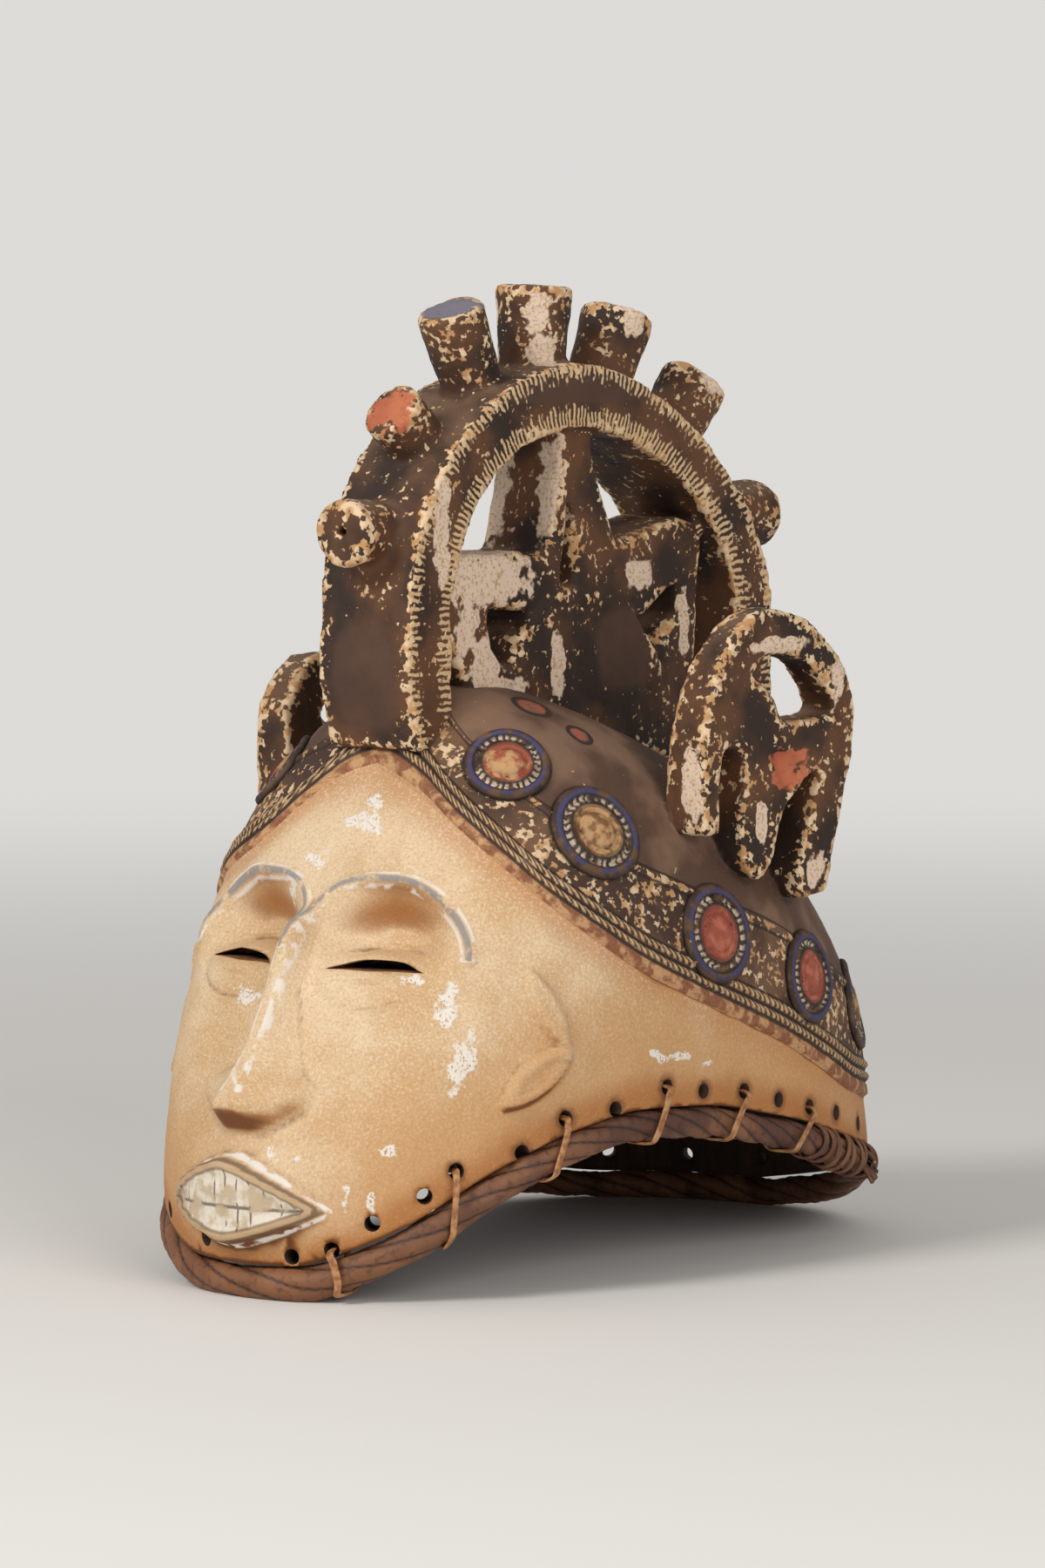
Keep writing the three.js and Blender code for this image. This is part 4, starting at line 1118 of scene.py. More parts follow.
def hollowness(mesh, rounds):
    """Above 0 in hollows and below 0 on edges, spread over some rounds of neighbours."""
    place, normal = vertices_of(mesh), normals_of(mesh)
    ends = np.empty(len(mesh.edges) * 2, np.int32)
    mesh.edges.foreach_get("vertices", ends)
    a, b = ends.reshape(-1, 2).T
    count = np.bincount(a, minlength=len(place)) + np.bincount(b, minlength=len(place))
    step = place[b] - place[a]
    step /= np.maximum(np.linalg.norm(step, axis=1), 1e-6)[:, None]

    def shared(to_a, to_b):
        total = np.bincount(a, to_a, len(place)) + np.bincount(b, to_b, len(place))
        return total / np.maximum(count, 1)

    value = shared((step * normal[a]).sum(1), -(step * normal[b]).sum(1))
    for _ in range(rounds):
        value = (value + shared(value[b], value[a])) / 2
    return value


# %% Numbers for the face and the cap
place = vertices_of(mask.data)
facing = normals_of(mask.data)
angle, station = place_on_head(place)
plain = head_point(angle, station)
face_x, face_z = plain[:, 0], plain[:, 2]
at_front = np.cos(angle) > 0.1
turns = np.linspace(0, math.pi, 400)
hairline = head_point(turns, station_at(hair_height(turns)))
hairline_run = np.concatenate(([0], np.cumsum(np.linalg.norm(np.diff(hairline, axis=0), axis=1))))
store(mask, "above_hair", (face_z - hair_height(angle)) * hair_slope(angle))
store(mask, "along_hair", np.interp(np.abs(angle), turns, hairline_run))
store(mask, "above_edge", face_z - edge_height(angle))
store(mask, "face_x", face_x)
store(mask, "face_z", face_z)
store(mask, "upward", facing[:, 2])
store(mask, "sideways", np.abs(facing[:, 0]))
store(mask, "hollow", hollowness(mask.data, 1))
store(mask, "hollow_wide", hollowness(mask.data, 6))
store(mask, "socket", at_front * socket_depth(face_x, face_z) / SOCKET["deep"])
store(mask, "brow", np.where(at_front, np.minimum(np.abs(brow_distance(face_x, face_z)), 12), 12))
store(mask, "mouth", np.where(at_front, np.clip(mouth_inside(face_x, face_z), -12, 20), -12))
on_nose = at_front & (face_z > 77) & (face_z < 152)
store(mask, "nose_edge", np.where(on_nose, np.abs(np.abs(face_x) - NOSE_TOP(face_z) - 0.6), 9))
near_hole = np.min([np.linalg.norm(place - hole, axis=1) for hole in hole_points], axis=0)
store(mask, "near_hole", near_hole)
print("numbers stored on", len(place), "vertices")

# %% White chips in the face paint: angle and height of the middle, half width and half height
CHIPS = ((7, 199, 4, 8), (6, 190, 10, 5), (-4.5, 174.6, 8, 4), (-8, 165, 4, 8), (22, 130, 8, 2.5),
         (27, 121, 6, 10), (30, 108, 3, 4), (29, 101, 6, 9), (27.5, 91, 4, 7), (62, 96, 5, 2.2),
         (67, 93.5, 9, 1.8), (75, 89.2, 6, 2), (19, 62, 5, 3), (-29.5, 103, 5, 16), (14, 42, 2, 7),
         (17, 40, 2, 6), (6, 59, 8, 3), (-8.5, 119, 10, 5), (24, 36, 2.5, 4), (-36, 133, 4, 12))


def chip_strength():
    strength = np.full(len(place), -1.0)
    for degrees, z, wide, tall in CHIPS:
        centre = head_point(math.radians(degrees), station_at(z))
        off = plain - centre
        distance = np.hypot(np.linalg.norm(off[:, :2], axis=1) / wide, off[:, 2] / tall)
        strength = np.maximum(strength, 1 - distance)
    return strength


store(mask, "chalk", chip_strength())

# %% Roundels: a place on each in shares of its radius, and how red its middle is
ROUNDEL_RED = (0.62, 0.0, 1.0, 0.9, 0.35, 0.8)
medal_x, medal_y, medal_red = np.zeros((3, len(place)))
medal_far = np.full(len(place), 2.0)
for number, (turn_to, z, radius) in enumerate(roundel_places()):
    centre, normal = head_point(turn_to, station_at(z)), head_normal(turn_to, station_at(z))
    level = level_across(normal)
    off = place - centre
    u, v = off @ level / radius, off @ np.cross(level, normal) / radius
    far = np.hypot(u, v)
    near = (far < medal_far) & (np.abs(off @ normal) < 9)
    medal_x[near], medal_y[near], medal_far[near] = u[near], v[near], far[near]
    medal_red[near] = ROUNDEL_RED[number % len(ROUNDEL_RED)]
store(mask, "medal_x", medal_x)
store(mask, "medal_y", medal_y)
store(mask, "medal_far", medal_far)
store(mask, "medal_red", medal_red)
LEAVES = ((40.6, -42.6, 233.8, 7.5), (58.9, -33.6, 222.7, 5.5))
leaf = [1 - np.linalg.norm(np.abs(place) * (1, 0, 1) + place * (0, 1, 0) - (lx, ly, lz), axis=1) / size
        for lx, ly, lz, size in LEAVES]
store(mask, "leaf", np.maximum(np.max(leaf, axis=0), -1))
# The groove share tells the fibre paint where to put painted shade between the strips.
store(roll, "groove", ramp(0.45, 1.0, groove / GROOVE_DEPTH))
store(roll, "at_chin", at_chin)
store(knot, "groove", np.zeros(len(knot.data.vertices)))
store(knot, "at_chin", np.zeros(len(knot.data.vertices)))


# %% Arch: distance from its two edges, and the run along it
def distance_to_line(y, z, line):
    nearest = np.full(len(y), 1e3)
    for (y0, z0), (y1, z1) in zip(line, line[1:]):
        dy, dz = y1 - y0, z1 - z0
        t = np.clip(((y - y0) * dy + (z - z0) * dz) / (dy * dy + dz * dz), 0, 1)
        nearest = np.minimum(nearest, np.hypot(y - y0 - t * dy, z - z0 - t * dz))
    return nearest


ARCH_THICKNESS = 29
SPRING_Y, SPRING_Z, ARCH_REACH = 11, 275, 100
x, y, z = place.T
from_outside = distance_to_line(y, z, ARCH_OUTSIDE)
from_inside = distance_to_line(y, z, ARCH_INSIDE)
on_arch = np.maximum(from_outside, from_inside) < ARCH_THICKNESS
store(mask, "arch_outside", np.where(on_arch, from_outside, 60))
store(mask, "arch_inside", np.where(on_arch, from_inside, 60))
over_top = np.arctan2(z - SPRING_Z, SPRING_Y - y) * ARCH_REACH
legs = np.where(y < SPRING_Y, z - SPRING_Z, math.pi * ARCH_REACH + SPRING_Z - z)
store(mask, "arch_run", np.where(z > SPRING_Z, over_top, legs))

# %% Painted patches of the crest: middle, half sizes and the way each one faces
SIDE, FRONT, TOP, ANY = (1, 0, 0), (0, -1, 0), (0, 0, 1), (0, 0, 0)
CREAM_PATCHES = (((15, 1, 325), (8, 14, 26), FRONT), ((19, -46, 288), (5, 32, 11), SIDE),
                 ((10, -48, 299), (14, 30, 5), TOP), ((19, -57, 268), (5, 8, 12), SIDE),
                 ((19, -46, 252), (5, 11, 14), SIDE), ((19, -34, 238), (5, 13, 12), SIDE),
                 ((21, -1, 252), (5, 4.5, 17), SIDE), ((19, 55, 287), (5, 9, 7), SIDE),
                 ((19, 87, 264), (5, 3.5, 16), SIDE), ((25, -80, 310), (4, 5, 26), SIDE),
                 ((104, -13, 204), (5.5, 6, 18), FRONT), ((112, 71, 243.5), (5, 5, 12), SIDE),
                 ((112, 22.5, 187), (5, 3.4, 11), SIDE), ((112, 57, 165), (6, 6, 8), SIDE),
                 ((112, 36, 261), (5, 22, 3.6), SIDE), ((8, 66, 399), (18, 18, 5), TOP),
                 ((12, 58, 395), (16, 5, 7), ANY), ((5, 117, 369), (16, 12, 7), ANY),
                 ((14, -2, 400), (9, 5, 9), ANY), ((13, 0, 378), (10, 5, 14), ANY))
RED_PATCHES = (((0, -84, 360), (12, 8, 12), ANY), ((112, 40, 209), (12, 13, 9), SIDE))
BLUE_PATCHES = (((0, -47, 401), (14, 14, 5), ANY),)
DARK_PATCHES = (((21, 42, 255), (6, 17, 17), SIDE), ((0, -104, 247), (17, 12, 24), FRONT),
                ((21, 5, 367), (9, 60, 6), SIDE))

loops, totals = np.empty(len(mask.data.loops), np.int32), np.empty(len(mask.data.polygons), np.int32)
mask.data.loops.foreach_get("vertex_index", loops)
mask.data.polygons.foreach_get("loop_total", totals)
kinds = np.empty(len(mask.data.polygons), np.int32)
mask.data.polygons.foreach_get("material_index", kinds)
is_crest = np.zeros(len(place), bool)
is_crest[loops[np.repeat(kinds == CREST, totals)]] = True
right_loop = is_crest & (x < -84) & (z < 262)
like_left = np.stack((np.abs(x), y - right_loop * RIGHT_LOOP_SHIFT[0],
                      z - right_loop * RIGHT_LOOP_SHIFT[1]), axis=1)
like_left_facing = facing * np.stack((np.sign(x), np.ones(len(x)), np.ones(len(x))), axis=1)


def patch_strength(patches):
    strength = np.full(len(place), -1.0)
    for middle, half, way in patches:
        off = np.abs(like_left - middle) / half
        distance = (off**3).sum(axis=1) ** (1 / 3)
        turned = like_left_facing @ np.array(way, float) + (way == ANY) > 0.45
        strength = np.where(turned & is_crest, np.maximum(strength, 1 - distance), strength)
    return strength


for name, patches in (("cream", CREAM_PATCHES), ("red", RED_PATCHES), ("blue", BLUE_PATCHES),
                      ("quiet", DARK_PATCHES)):
    store(mask, name, patch_strength(patches))
print("crest vertices:", int(is_crest.sum()))

# %% [markdown]
# ## Shared effects as node groups
# Flecks and painted shade in hollows come back on several surfaces, and wood grain is wanted
# on many carved things, so each is one shader node group with named inputs. The alternative,
# copying the nodes into each material, would let the surfaces drift apart when one is changed.


# %% A short way to write shader nodes
def colour(red, green, blue):
    """A colour as read off a screen, 0 to 255, turned into the light value Blender wants."""
    return tuple(((c / 255 + 0.055) / 1.055) ** 2.4 for c in (red, green, blue)) + (1.0,)


class Nodes:
    """Adds nodes to one tree. Any input takes a plain value or another node's output."""

    def __init__(self, tree):
        self.tree = tree

    def add(self, kind, inputs, **settings):
        node = self.tree.nodes.new("ShaderNode" + kind)
        for name, value in settings.items():
            setattr(node, name, value)
        for key, value in inputs.items():
            if isinstance(value, bpy.types.NodeSocket):
                self.tree.links.new(value, node.inputs[key])
            else:
                node.inputs[key].default_value = value
        return node

    def number(self, operation, a, b=0.0, c=0.0):
        return self.add("Math", {0: a, 1: b, 2: c}, operation=operation).outputs[0]

    def step(self, low, high, value):
        """0 up to low and 1 from high on, smooth between. High may lie below low."""
        return self.add("MapRange", {"Value": value, "From Min": low, "From Max": high},
                        interpolation_type="SMOOTHSTEP").outputs[0]

    def band(self, value, middle, half, soft=0.4):
        """1 where the value lies within half of the middle, with soft sides."""
        away = self.number("ABSOLUTE", self.number("SUBTRACT", value, middle))
        return self.step(half + soft, half - soft, away)

    def both(self, a, b):
        return self.number("MULTIPLY", a, b)

    def mix(self, share, a, b):
        return self.add("Mix", {0: share, 6: a, 7: b}, data_type="RGBA").outputs[2]

    def stored(self, name):
        return self.add("Attribute", {}, attribute_name=name).outputs["Fac"]

    def where(self):
        return self.add("TexCoord", {}).outputs["Object"]

    def noise(self, scale, detail=2.0, where=None):
        return self.add("TexNoise", {"Vector": where or self.where(), "Scale": scale,
                                     "Detail": detail}).outputs[0]

    def effect(self, tree, inputs):
        return self.add("Group", inputs, node_tree=tree).outputs


def effect(name, inputs, outputs, build):
    tree = bpy.data.node_groups.new(name, "ShaderNodeTree")
    for socket_name, kind, value in inputs:
        socket = tree.interface.new_socket(socket_name, in_out="INPUT", socket_type="NodeSocket" + kind)
        socket.default_value = value
    for socket_name, kind in outputs:
        tree.interface.new_socket(socket_name, in_out="OUTPUT", socket_type="NodeSocket" + kind)
    entry, leave = tree.nodes.new("NodeGroupInput"), tree.nodes.new("NodeGroupOutput")
    for socket_name, value in build(Nodes(tree), entry.outputs).items():
        tree.links.new(value, leave.inputs[socket_name])
    return tree


# %% Flecks, painted hollow shade and grain
def flecks_nodes(n, given):
    fine = n.noise(given["Scale"], 5.0)
    cloud = n.noise(n.both(given["Scale"], 0.16), 3.0)
    level = n.number("SUBTRACT", 0.80, n.both(given["Amount"], 0.34))
    level = n.number("SUBTRACT", level, n.both(n.number("SUBTRACT", cloud, 0.5), 0.34))
    over = n.number("SUBTRACT", fine, level)
    tone = n.noise(n.both(given["Scale"], 0.6), 1.0)
    shade = n.mix(n.step(0.4, 0.6, tone), given["Dark"], given["Light"])
    return {"Mask": n.step(0.0, 0.05, over), "Color": shade}


flecks = effect("flecks", (("Scale", "Float", 420.0), ("Amount", "Float", 0.5),
                           ("Light", "Color", colour(232, 204, 166)),
                           ("Dark", "Color", colour(196, 148, 98))),
                (("Mask", "Float"), ("Color", "Color")), flecks_nodes)


# Painted shade: hollows and creases are darkened towards a shade colour, in patches.
def hollow_shade_nodes(n, given):
    patchy = n.noise(60, 3.0)
    deep = n.step(0.04, 0.26, given["Hollow"])
    deep = n.both(deep, n.step(0.2, 0.55, patchy))
    return {"Color": n.mix(n.both(deep, given["Amount"]), given["Color"], given["Shade_colour"])}


hollow_shade = effect("hollow_shade", (("Color", "Color", colour(128, 128, 128)), ("Hollow", "Float", 0.0),
                         ("Amount", "Float", 0.8), ("Shade_colour", "Color", colour(36, 22, 14))),
               (("Color", "Color"),), hollow_shade_nodes)


def grain_nodes(n, given):
    stretched = n.add("Mapping", {"Vector": n.where(), "Scale": (1.0, 1.0, 0.12)}).outputs[0]
    lines = n.noise(330, 3.0, stretched)
    shade = n.step(0.35, 0.7, lines)
    return {"Color": n.mix(n.both(shade, given["Amount"]), given["Color"], given["Line"]),
            "Height": n.number("MULTIPLY", lines, given["Amount"])}


grain = effect("grain", (("Color", "Color", colour(128, 128, 128)), ("Amount", "Float", 0.3),
                         ("Line", "Color", colour(60, 40, 26))),
               (("Color", "Color"), ("Height", "Float")), grain_nodes)
print("effects:", [g.name for g in (flecks, hollow_shade, grain)])


# %% A material from a colour, a roughness and a height
PAINT_DEPTH = 0.0004


def material(name, build):
    made = bpy.data.materials.new(name)
    made.use_nodes = True
    n = Nodes(made.node_tree)
    surface, rough, height = build(n)
    bump_node = n.add("Bump", {"Height": height, "Distance": PAINT_DEPTH, "Strength": 1.0})
    shader = made.node_tree.nodes["Principled BSDF"]
    made.node_tree.links.new(surface, shader.inputs["Base Color"])
    shader.inputs["Roughness"].default_value = rough
    made.node_tree.links.new(bump_node.outputs[0], shader.inputs["Normal"])
    return made


# %% [markdown]
# ## The face paint
# The face is white clay gone creamy and sandy with age. Rubbed places at the jaw and below the
# hairline show the orange-brown wood, and chips of a whiter, newer coat lie over it. Painted
# shade in browns darkens the eye sockets under the brows, the hollows and every face that
# turns downward, under the nose, lips and chin. The brows are drawn in grey along their raised
# lines, with a little white beside them, the mouth has a white outline, and dark lines part
# the teeth.


# %% Face
def face_nodes(n):
    edge, hair, upward = n.stored("above_edge"), n.stored("above_hair"), n.stored("upward")
    cloudy, sandy, rag = n.noise(22, 4.0), n.noise(900, 2.0), n.noise(150, 4.0)
    wander = n.both(n.number("SUBTRACT", cloudy, 0.5), 60)
    base = n.mix(n.step(0.38, 0.64, cloudy), colour(208, 172, 128), colour(224, 198, 162))
    low = n.step(70, 4, n.number("ADD", edge, wander))
    base = n.mix(n.both(low, 0.75), base, colour(196, 145, 92))
    rubbed = n.step(17, 3, n.number("ADD", edge, n.both(wander, 0.35)))
    base = n.mix(n.both(rubbed, 0.85), base, colour(172, 108, 48))
    under_hair = n.step(-18, -1, n.number("ADD", hair, n.both(wander, 0.3)))
    base = n.mix(n.both(under_hair, 0.6), base, colour(184, 124, 70))
    base = n.mix(n.both(n.step(0.50, 0.68, sandy), 0.30), base, colour(178, 128, 76))
    pale_dots = n.number("SUBTRACT", 0.34, n.both(low, 0.26))
    base = n.mix(n.both(n.step(0.47, 0.34, sandy), pale_dots), base, colour(240, 226, 204))
    # Painted shade under the brows: socket faces that turn downward are browned.
    shade = n.both(n.step(0.1, 0.7, n.stored("socket")), n.step(0.4, -0.35, upward))
    base = n.mix(n.both(shade, 0.8), base, colour(150, 92, 38))
    # Painted shade on faces that turn downward, under the nose, lips and chin: the more they face down,
    # the darker.
    base = n.mix(n.both(n.step(-0.12, -0.5, upward), 0.65), base, colour(178, 116, 54))
    base = n.mix(n.both(n.step(-0.30, -0.60, upward), 0.9), base, colour(112, 60, 14))
    # Painted shade in the face's hollows and creases.
    base = n.effect(hollow_shade, {"Color": base, "Hollow": n.stored("hollow"), "Amount": 0.8,
                            "Shade_colour": colour(104, 66, 32)})["Color"]
    halo = n.step(7.0, 3.4, n.stored("near_hole"))
    base = n.mix(n.both(halo, 0.6), base, colour(104, 60, 30))
    white = colour(236, 229, 220)
    torn = n.both(n.number("SUBTRACT", rag, 0.5), 3.4)
    chips = n.both(n.step(0.10, 0.45, n.number("ADD", n.stored("chalk"), torn)),
                   n.step(0.66, 0.56, sandy))
    ridge = n.both(n.step(1.8, 0.8, n.stored("nose_edge")), n.step(0.42, 0.54, rag))
    white_parts = n.number("MAXIMUM", n.both(chips, 0.9), n.both(ridge, 0.8))
    brow = n.stored("brow")
    brow_white = n.both(n.band(brow, 2.0, 0.5), n.step(0.42, 0.54, rag))
    white_parts = n.number("MAXIMUM", white_parts, n.both(brow_white, 0.75))
    base = n.mix(white_parts, base, white)
    grey_line = n.both(n.step(1.3, 0.6, brow), n.step(0.36, 0.50, rag))
    base = n.mix(n.both(grey_line, 0.85), base, colour(138, 136, 138))
    return mouth_paint(n, base, rag, white), 0.72, n.number(
        "ADD", n.both(sandy, 0.5), n.both(white_parts, 0.5))


def mouth_paint(n, base, rag, white):
    inside, blotch = n.stored("mouth"), n.noise(90, 2.0)
    base = n.mix(n.step(0.2, 1.6, inside), base, colour(196, 166, 128))
    base = n.mix(n.both(n.band(inside, -1.3, 0.7), n.step(0.40, 0.52, rag)), base, white)
    base = n.mix(n.both(n.band(inside, 0.5, 0.6), 0.8), base, colour(104, 80, 58))
    teeth = n.step(LIP - 0.6, LIP + 0.2, inside)
    enamel = n.mix(n.step(0.4, 0.6, rag), colour(198, 178, 150), colour(228, 218, 202))
    base = n.mix(teeth, base, enamel)
    base = n.mix(n.both(n.band(inside, LIP, 0.5), 0.7), base, colour(112, 86, 62))
    tooth = n.number("PINGPONG", n.both(n.stored("face_x"), 1 / TOOTH), 0.5)
    gaps = n.step(0.38, 0.46, n.number("SUBTRACT", tooth, n.both(n.step(0.58, 0.44, blotch), 0.2)))
    line = n.band(n.stored("face_z"), MOUTH["line_z"], 0.7)
    dark = n.both(n.both(n.number("MAXIMUM", gaps, line), teeth), n.step(0.36, 0.52, rag))
    return n.mix(n.both(dark, 0.8), base, colour(84, 62, 42))


skin_paint = material("face_paint", face_nodes)

# %% [markdown]
# ## The cap paint
# Over the dark cap lies a scaly, worn cream. The two ridges at the hairline are striped like
# cords, and the roundels wear rings: a speckled rim, then blue, then white dashes round an
# ochre or red middle.


# %% Cap
def cap_nodes(n):
    above, run = n.stored("above_hair"), n.stored("along_hair")
    cloudy, rag = n.noise(28, 3.0), n.noise(170, 3.0)
    base = n.mix(n.step(0.4, 0.6, cloudy), colour(66, 43, 31), colour(112, 80, 56))
    panel = n.step(BAND_TOP, BAND_TOP + 4, above)
    smooth = n.mix(n.step(0.4, 0.6, cloudy), colour(88, 62, 48), colour(128, 98, 78))
    base = n.mix(panel, base, smooth)
    amount = n.number("SUBTRACT", 0.78, n.both(panel, 0.55))
    amount = n.number("SUBTRACT", amount, n.both(n.stored("hollow"), 2.4))
    worn = n.effect(flecks, {"Scale": 330.0, "Amount": amount})
    base = n.mix(n.both(worn["Mask"], 0.85), base, worn["Color"])
    strip = n.step(6.8, 6.0, above)
    base = n.mix(strip, base, n.mix(n.step(0.42, 0.6, rag), colour(142, 90, 60), colour(196, 150, 106)))
    slanted = n.number("ADD", n.both(run, 1 / 3.6), n.both(above, 0.16))
    dashes = n.step(0.22, 0.30, n.number("PINGPONG", n.number("ADD", slanted, n.both(rag, 0.5)), 0.5))
    cord = n.mix(dashes, colour(66, 44, 32), colour(204, 168, 122))
    ridges = n.number("MAXIMUM", n.band(above, RIDGES[0], 1.5), n.band(above, RIDGES[1], 1.5))
    base = n.mix(n.both(ridges, 0.8), base, cord)
    for line in (6.4, 11.1, 16.0, BAND_TOP - 2.8, BAND_TOP + 2.8):
        base = n.mix(n.both(n.band(above, line, 0.7), 0.85), base, colour(34, 20, 14))
    base = roundel_paint(n, base, rag, worn)
    leaf = n.step(0.0, 0.2, n.stored("leaf"))
    base = n.mix(n.step(-0.35, -0.2, n.stored("leaf")), base, colour(52, 36, 28))
    base = n.mix(leaf, base, n.mix(n.step(0.45, 0.6, rag), colour(160, 84, 66), colour(120, 86, 68)))
    # Painted shade in the cap's hollows and creases.
    base = n.effect(hollow_shade, {"Color": base, "Hollow": n.stored("hollow")})["Color"]
    return base, 0.7, n.number("ADD", n.both(worn["Mask"], 0.6), n.both(n.noise(300), 0.8))


def roundel_paint(n, base, rag, worn):
    far = n.stored("medal_far")
    turn = n.both(n.number("ARCTAN2", n.stored("medal_y"), n.stored("medal_x")), 13 / math.pi)
    dash = n.step(0.16, 0.30, n.number("PINGPONG", n.number("ADD", turn, n.both(rag, 1.6)), 0.5))
    uneven = n.number("ADD", far, n.both(n.number("SUBTRACT", rag, 0.5), 0.12))
    brown = n.mix(n.step(0.4, 0.6, rag), colour(66, 44, 32), colour(112, 80, 54))
    speckled = n.mix(worn["Mask"], brown, worn["Color"])
    dash = n.both(dash, n.step(0.62, 0.50, n.noise(120, 2.0)))
    whites = n.mix(dash, brown, colour(206, 190, 170))
    blues = n.mix(n.step(0.52, 0.62, rag), colour(74, 70, 112), brown)
    ochre = n.mix(n.step(0.40, 0.58, rag), colour(128, 88, 54), colour(196, 154, 106))
    red = n.mix(n.step(0.4, 0.65, rag), colour(158, 78, 58), colour(190, 108, 82))
    reddened = n.step(0.30, 0.42, n.number("SUBTRACT", n.stored("medal_red"), n.both(rag, 0.5)))
    paint = n.mix(n.step(0.94, 0.90, uneven), speckled, blues)
    paint = n.mix(n.step(0.80, 0.76, uneven), paint, whites)
    paint = n.mix(n.step(0.62, 0.58, uneven), paint, n.mix(reddened, ochre, red))
    for groove in (0.60, 0.79, 1.03):
        paint = n.mix(n.both(n.band(far, groove, 0.03, 0.02), 0.8), paint, colour(34, 20, 14))
    return n.mix(n.step(1.06, 1.02, far), base, paint)


cap_paint = material("cap_paint", cap_nodes)

# %% [markdown]
# ## The crest paint
# The crest was painted dark, then flecked and hatched with cream along every edge. The flecks
# thicken toward the edges, whole faces stay quiet and dark, and a few faces are solid cream,
# red or blue-grey. Faces that turn upward are made greyer and lighter, in patches.


# %% Crest
def crest_nodes(n):
    cloudy, rag = n.noise(26, 3.0), n.noise(160, 3.0)
    edge = n.both(n.stored("hollow_wide"), -1)
    near_edge = n.step(-0.01, 0.10, edge)
    quiet = n.step(-0.1, 0.25, n.number("ADD", n.stored("quiet"), n.both(cloudy, 0.2)))
    base = n.mix(n.step(0.38, 0.62, cloudy), colour(44, 26, 16), colour(98, 62, 36))
    base = n.mix(n.both(quiet, 0.8), base, colour(80, 54, 40))
    # Faces that turn upward are made greyer and lighter, in patches.
    upward_pale = n.both(n.step(0.45, 0.9, n.stored("upward")), n.step(0.35, 0.55, cloudy))
    base = n.mix(n.both(upward_pale, 0.7), base, colour(124, 98, 78))
    amount = n.number("ADD", 0.50, n.both(near_edge, 0.62))
    amount = n.number("SUBTRACT", amount, n.both(quiet, 0.5))
    worn = n.effect(flecks, {"Scale": 330.0, "Amount": amount})
    base = n.mix(n.both(worn["Mask"], 0.95), base, worn["Color"])
    base = n.mix(arch_strokes(n, rag), base, colour(220, 188, 144))
    torn = n.both(n.number("SUBTRACT", rag, 0.5), 1.6)
    red = n.step(0.02, 0.2, n.number("ADD", n.stored("red"), torn))
    base = n.mix(red, base, n.mix(n.step(0.4, 0.6, cloudy), colour(176, 92, 62), colour(196, 112, 76)))
    blue = n.step(0.0, 0.2, n.number("ADD", n.stored("blue"), n.both(torn, 0.5)))
    base = n.mix(blue, base, colour(124, 118, 132))
    cream = n.step(0.02, 0.2, n.number("ADD", n.stored("cream"), torn))
    fine = n.noise(700, 1.0)
    creamy = n.mix(n.step(0.5, 0.7, fine), colour(228, 204, 182), colour(196, 158, 116))
    base = n.mix(n.both(cream, 0.95), base, creamy)
    # Painted shade, nearly black, in the crest's hollows and inner corners.
    base = n.effect(hollow_shade, {"Color": base, "Hollow": n.stored("hollow_wide"), "Amount": 0.85,
                            "Shade_colour": colour(26, 15, 9)})["Color"]
    return base, 0.72, n.number("ADD", n.both(worn["Mask"], 0.6), n.both(n.noise(240), 0.9))


def arch_strokes(n, rag):
    """Short cream strokes square to both edges of the arch's side faces."""
    run = n.number("ADD", n.both(n.stored("arch_run"), 1 / 3.0), n.both(rag, 1.2))
    stroke = n.step(0.20, 0.32, n.number("PINGPONG", run, 0.5))
    ragged = n.both(n.number("SUBTRACT", n.noise(300, 1.0), 0.5), 14)
    inner = n.step(9.5, 7.5, n.number("ADD", n.stored("arch_inside"), ragged))
    outer = n.step(6.5, 4.5, n.number("ADD", n.stored("arch_outside"), ragged))
    on_side = n.step(0.6, 0.8, n.stored("sideways"))
    return n.both(n.both(stroke, n.number("MAXIMUM", inner, outer)), n.both(on_side, 0.9))


crest_paint = material("crest_paint", crest_nodes)


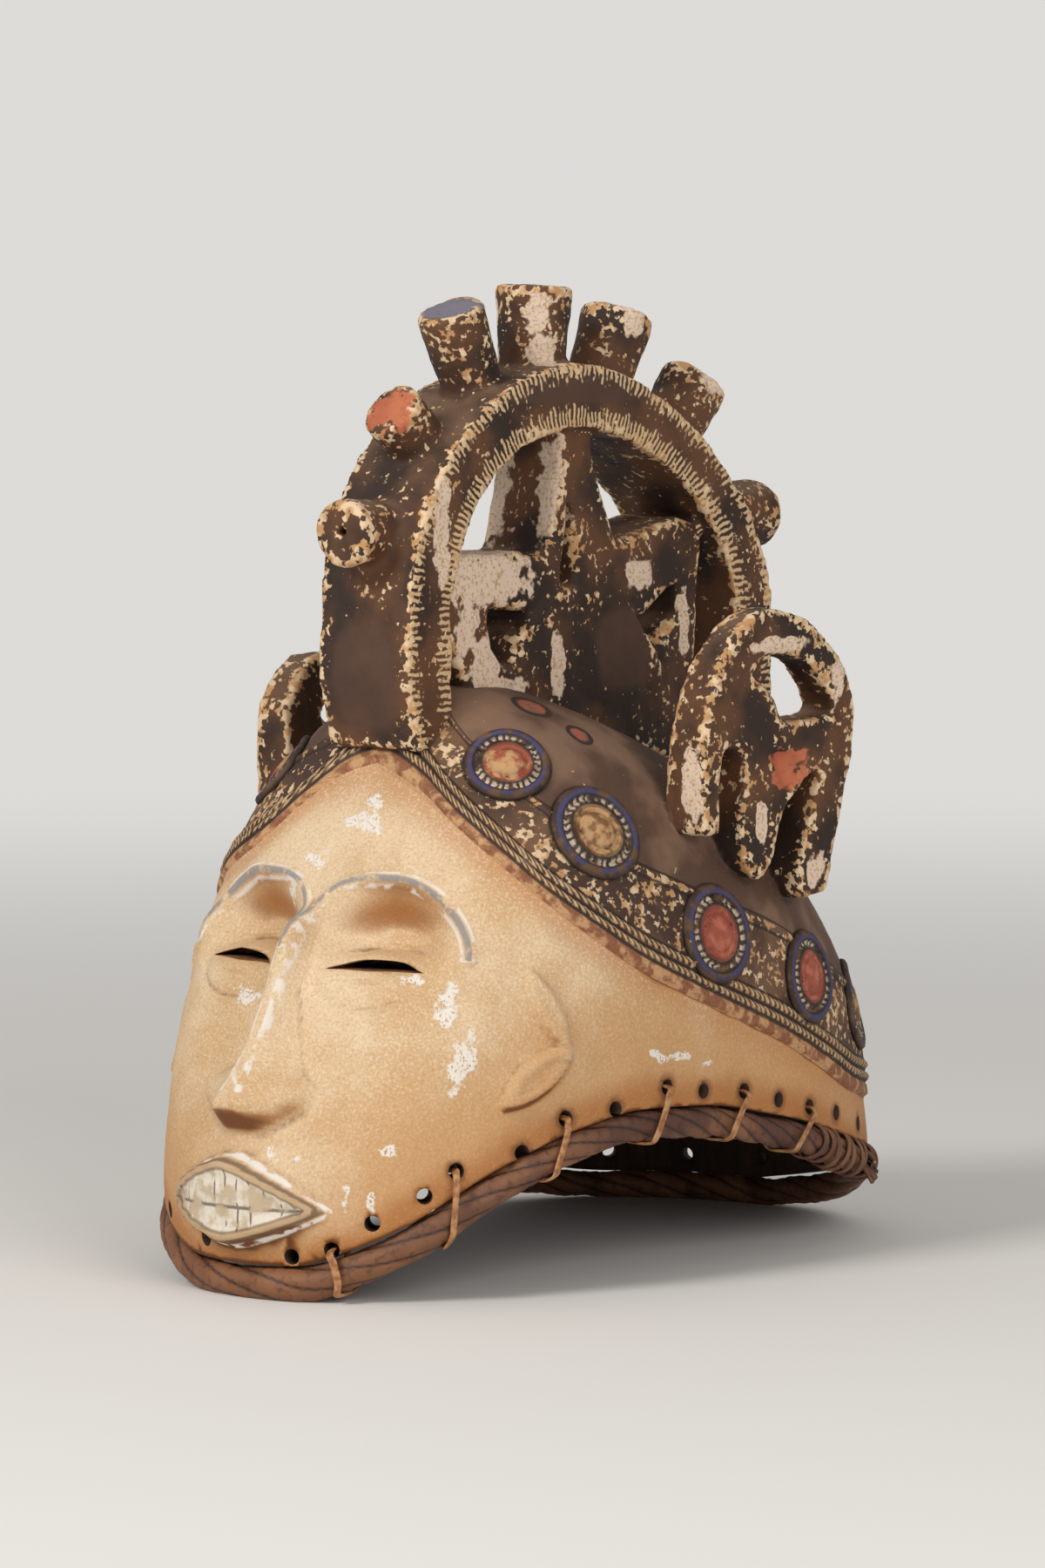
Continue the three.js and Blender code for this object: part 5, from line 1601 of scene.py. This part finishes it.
# %% Inside, fibre and cane
def inside_nodes(n):
    wood = n.mix(n.noise(30, 3.0), colour(44, 28, 18), colour(78, 52, 34))
    # Painted light: inside wood at the height of the eye slits is lightened to a lit brown, so the
    # slits' cut walls look lit.
    slit_light = n.band(n.stored("face_z"), EYE["slit_z"] + 1, 4.0, 3.0)
    wood = n.mix(n.both(slit_light, 0.9), wood, colour(146, 92, 44))
    lined = n.effect(grain, {"Color": wood, "Amount": 0.5, "Line": colour(26, 16, 10)})
    return lined["Color"], 0.85, lined["Height"]


def fibre_nodes(n):
    strand = n.noise(260, 3.0)
    base = n.mix(n.step(0.35, 0.65, n.noise(40, 2.0)), colour(88, 54, 40), colour(132, 88, 58))
    base = n.mix(n.both(n.stored("at_chin"), 0.6), base, colour(142, 92, 56))
    base = n.mix(n.both(n.step(0.5, 0.7, strand), 0.5), base, colour(58, 32, 22))
    # Painted shade: the grooves between the twisted strips go nearly black.
    base = n.mix(n.stored("groove"), base, colour(30, 15, 10))
    return base, 0.6, strand


def cane_nodes(n):
    strand = n.noise(330, 2.0)
    base = n.mix(n.step(0.35, 0.65, strand), colour(146, 94, 54), colour(188, 138, 92))
    return base, 0.5, strand


inside_wood = material("inside_wood", inside_nodes)
fibre = material("dry_fibre", fibre_nodes)
cane = material("split_cane", cane_nodes)

# %% [markdown]
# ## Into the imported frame
# Each piece gets its materials and is moved once from millimetres round the chin into the
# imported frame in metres. Moving the vertices, not the object, keeps every object at the
# origin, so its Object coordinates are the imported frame's own.

# %% Materials and frame
for index, paint in enumerate((skin_paint, cap_paint, crest_paint, inside_wood)):
    mask.data.materials[index] = paint
for piece, paint in ((roll, fibre), (knot, fibre), *((tie, cane) for tie in ties)):
    piece.data.materials.append(paint)
for piece in (mask, roll, knot, *ties):
    piece.data.transform(INTO_FRAME)
    piece.data.shade_smooth()
    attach(piece, "root")

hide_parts("carved_mask")
for piece, node in ((roll, "rim_roll"), (knot, "rear_knot")):
    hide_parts(node)
for number, tie in enumerate(ties, 1):
    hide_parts(f"lashing_{number}")
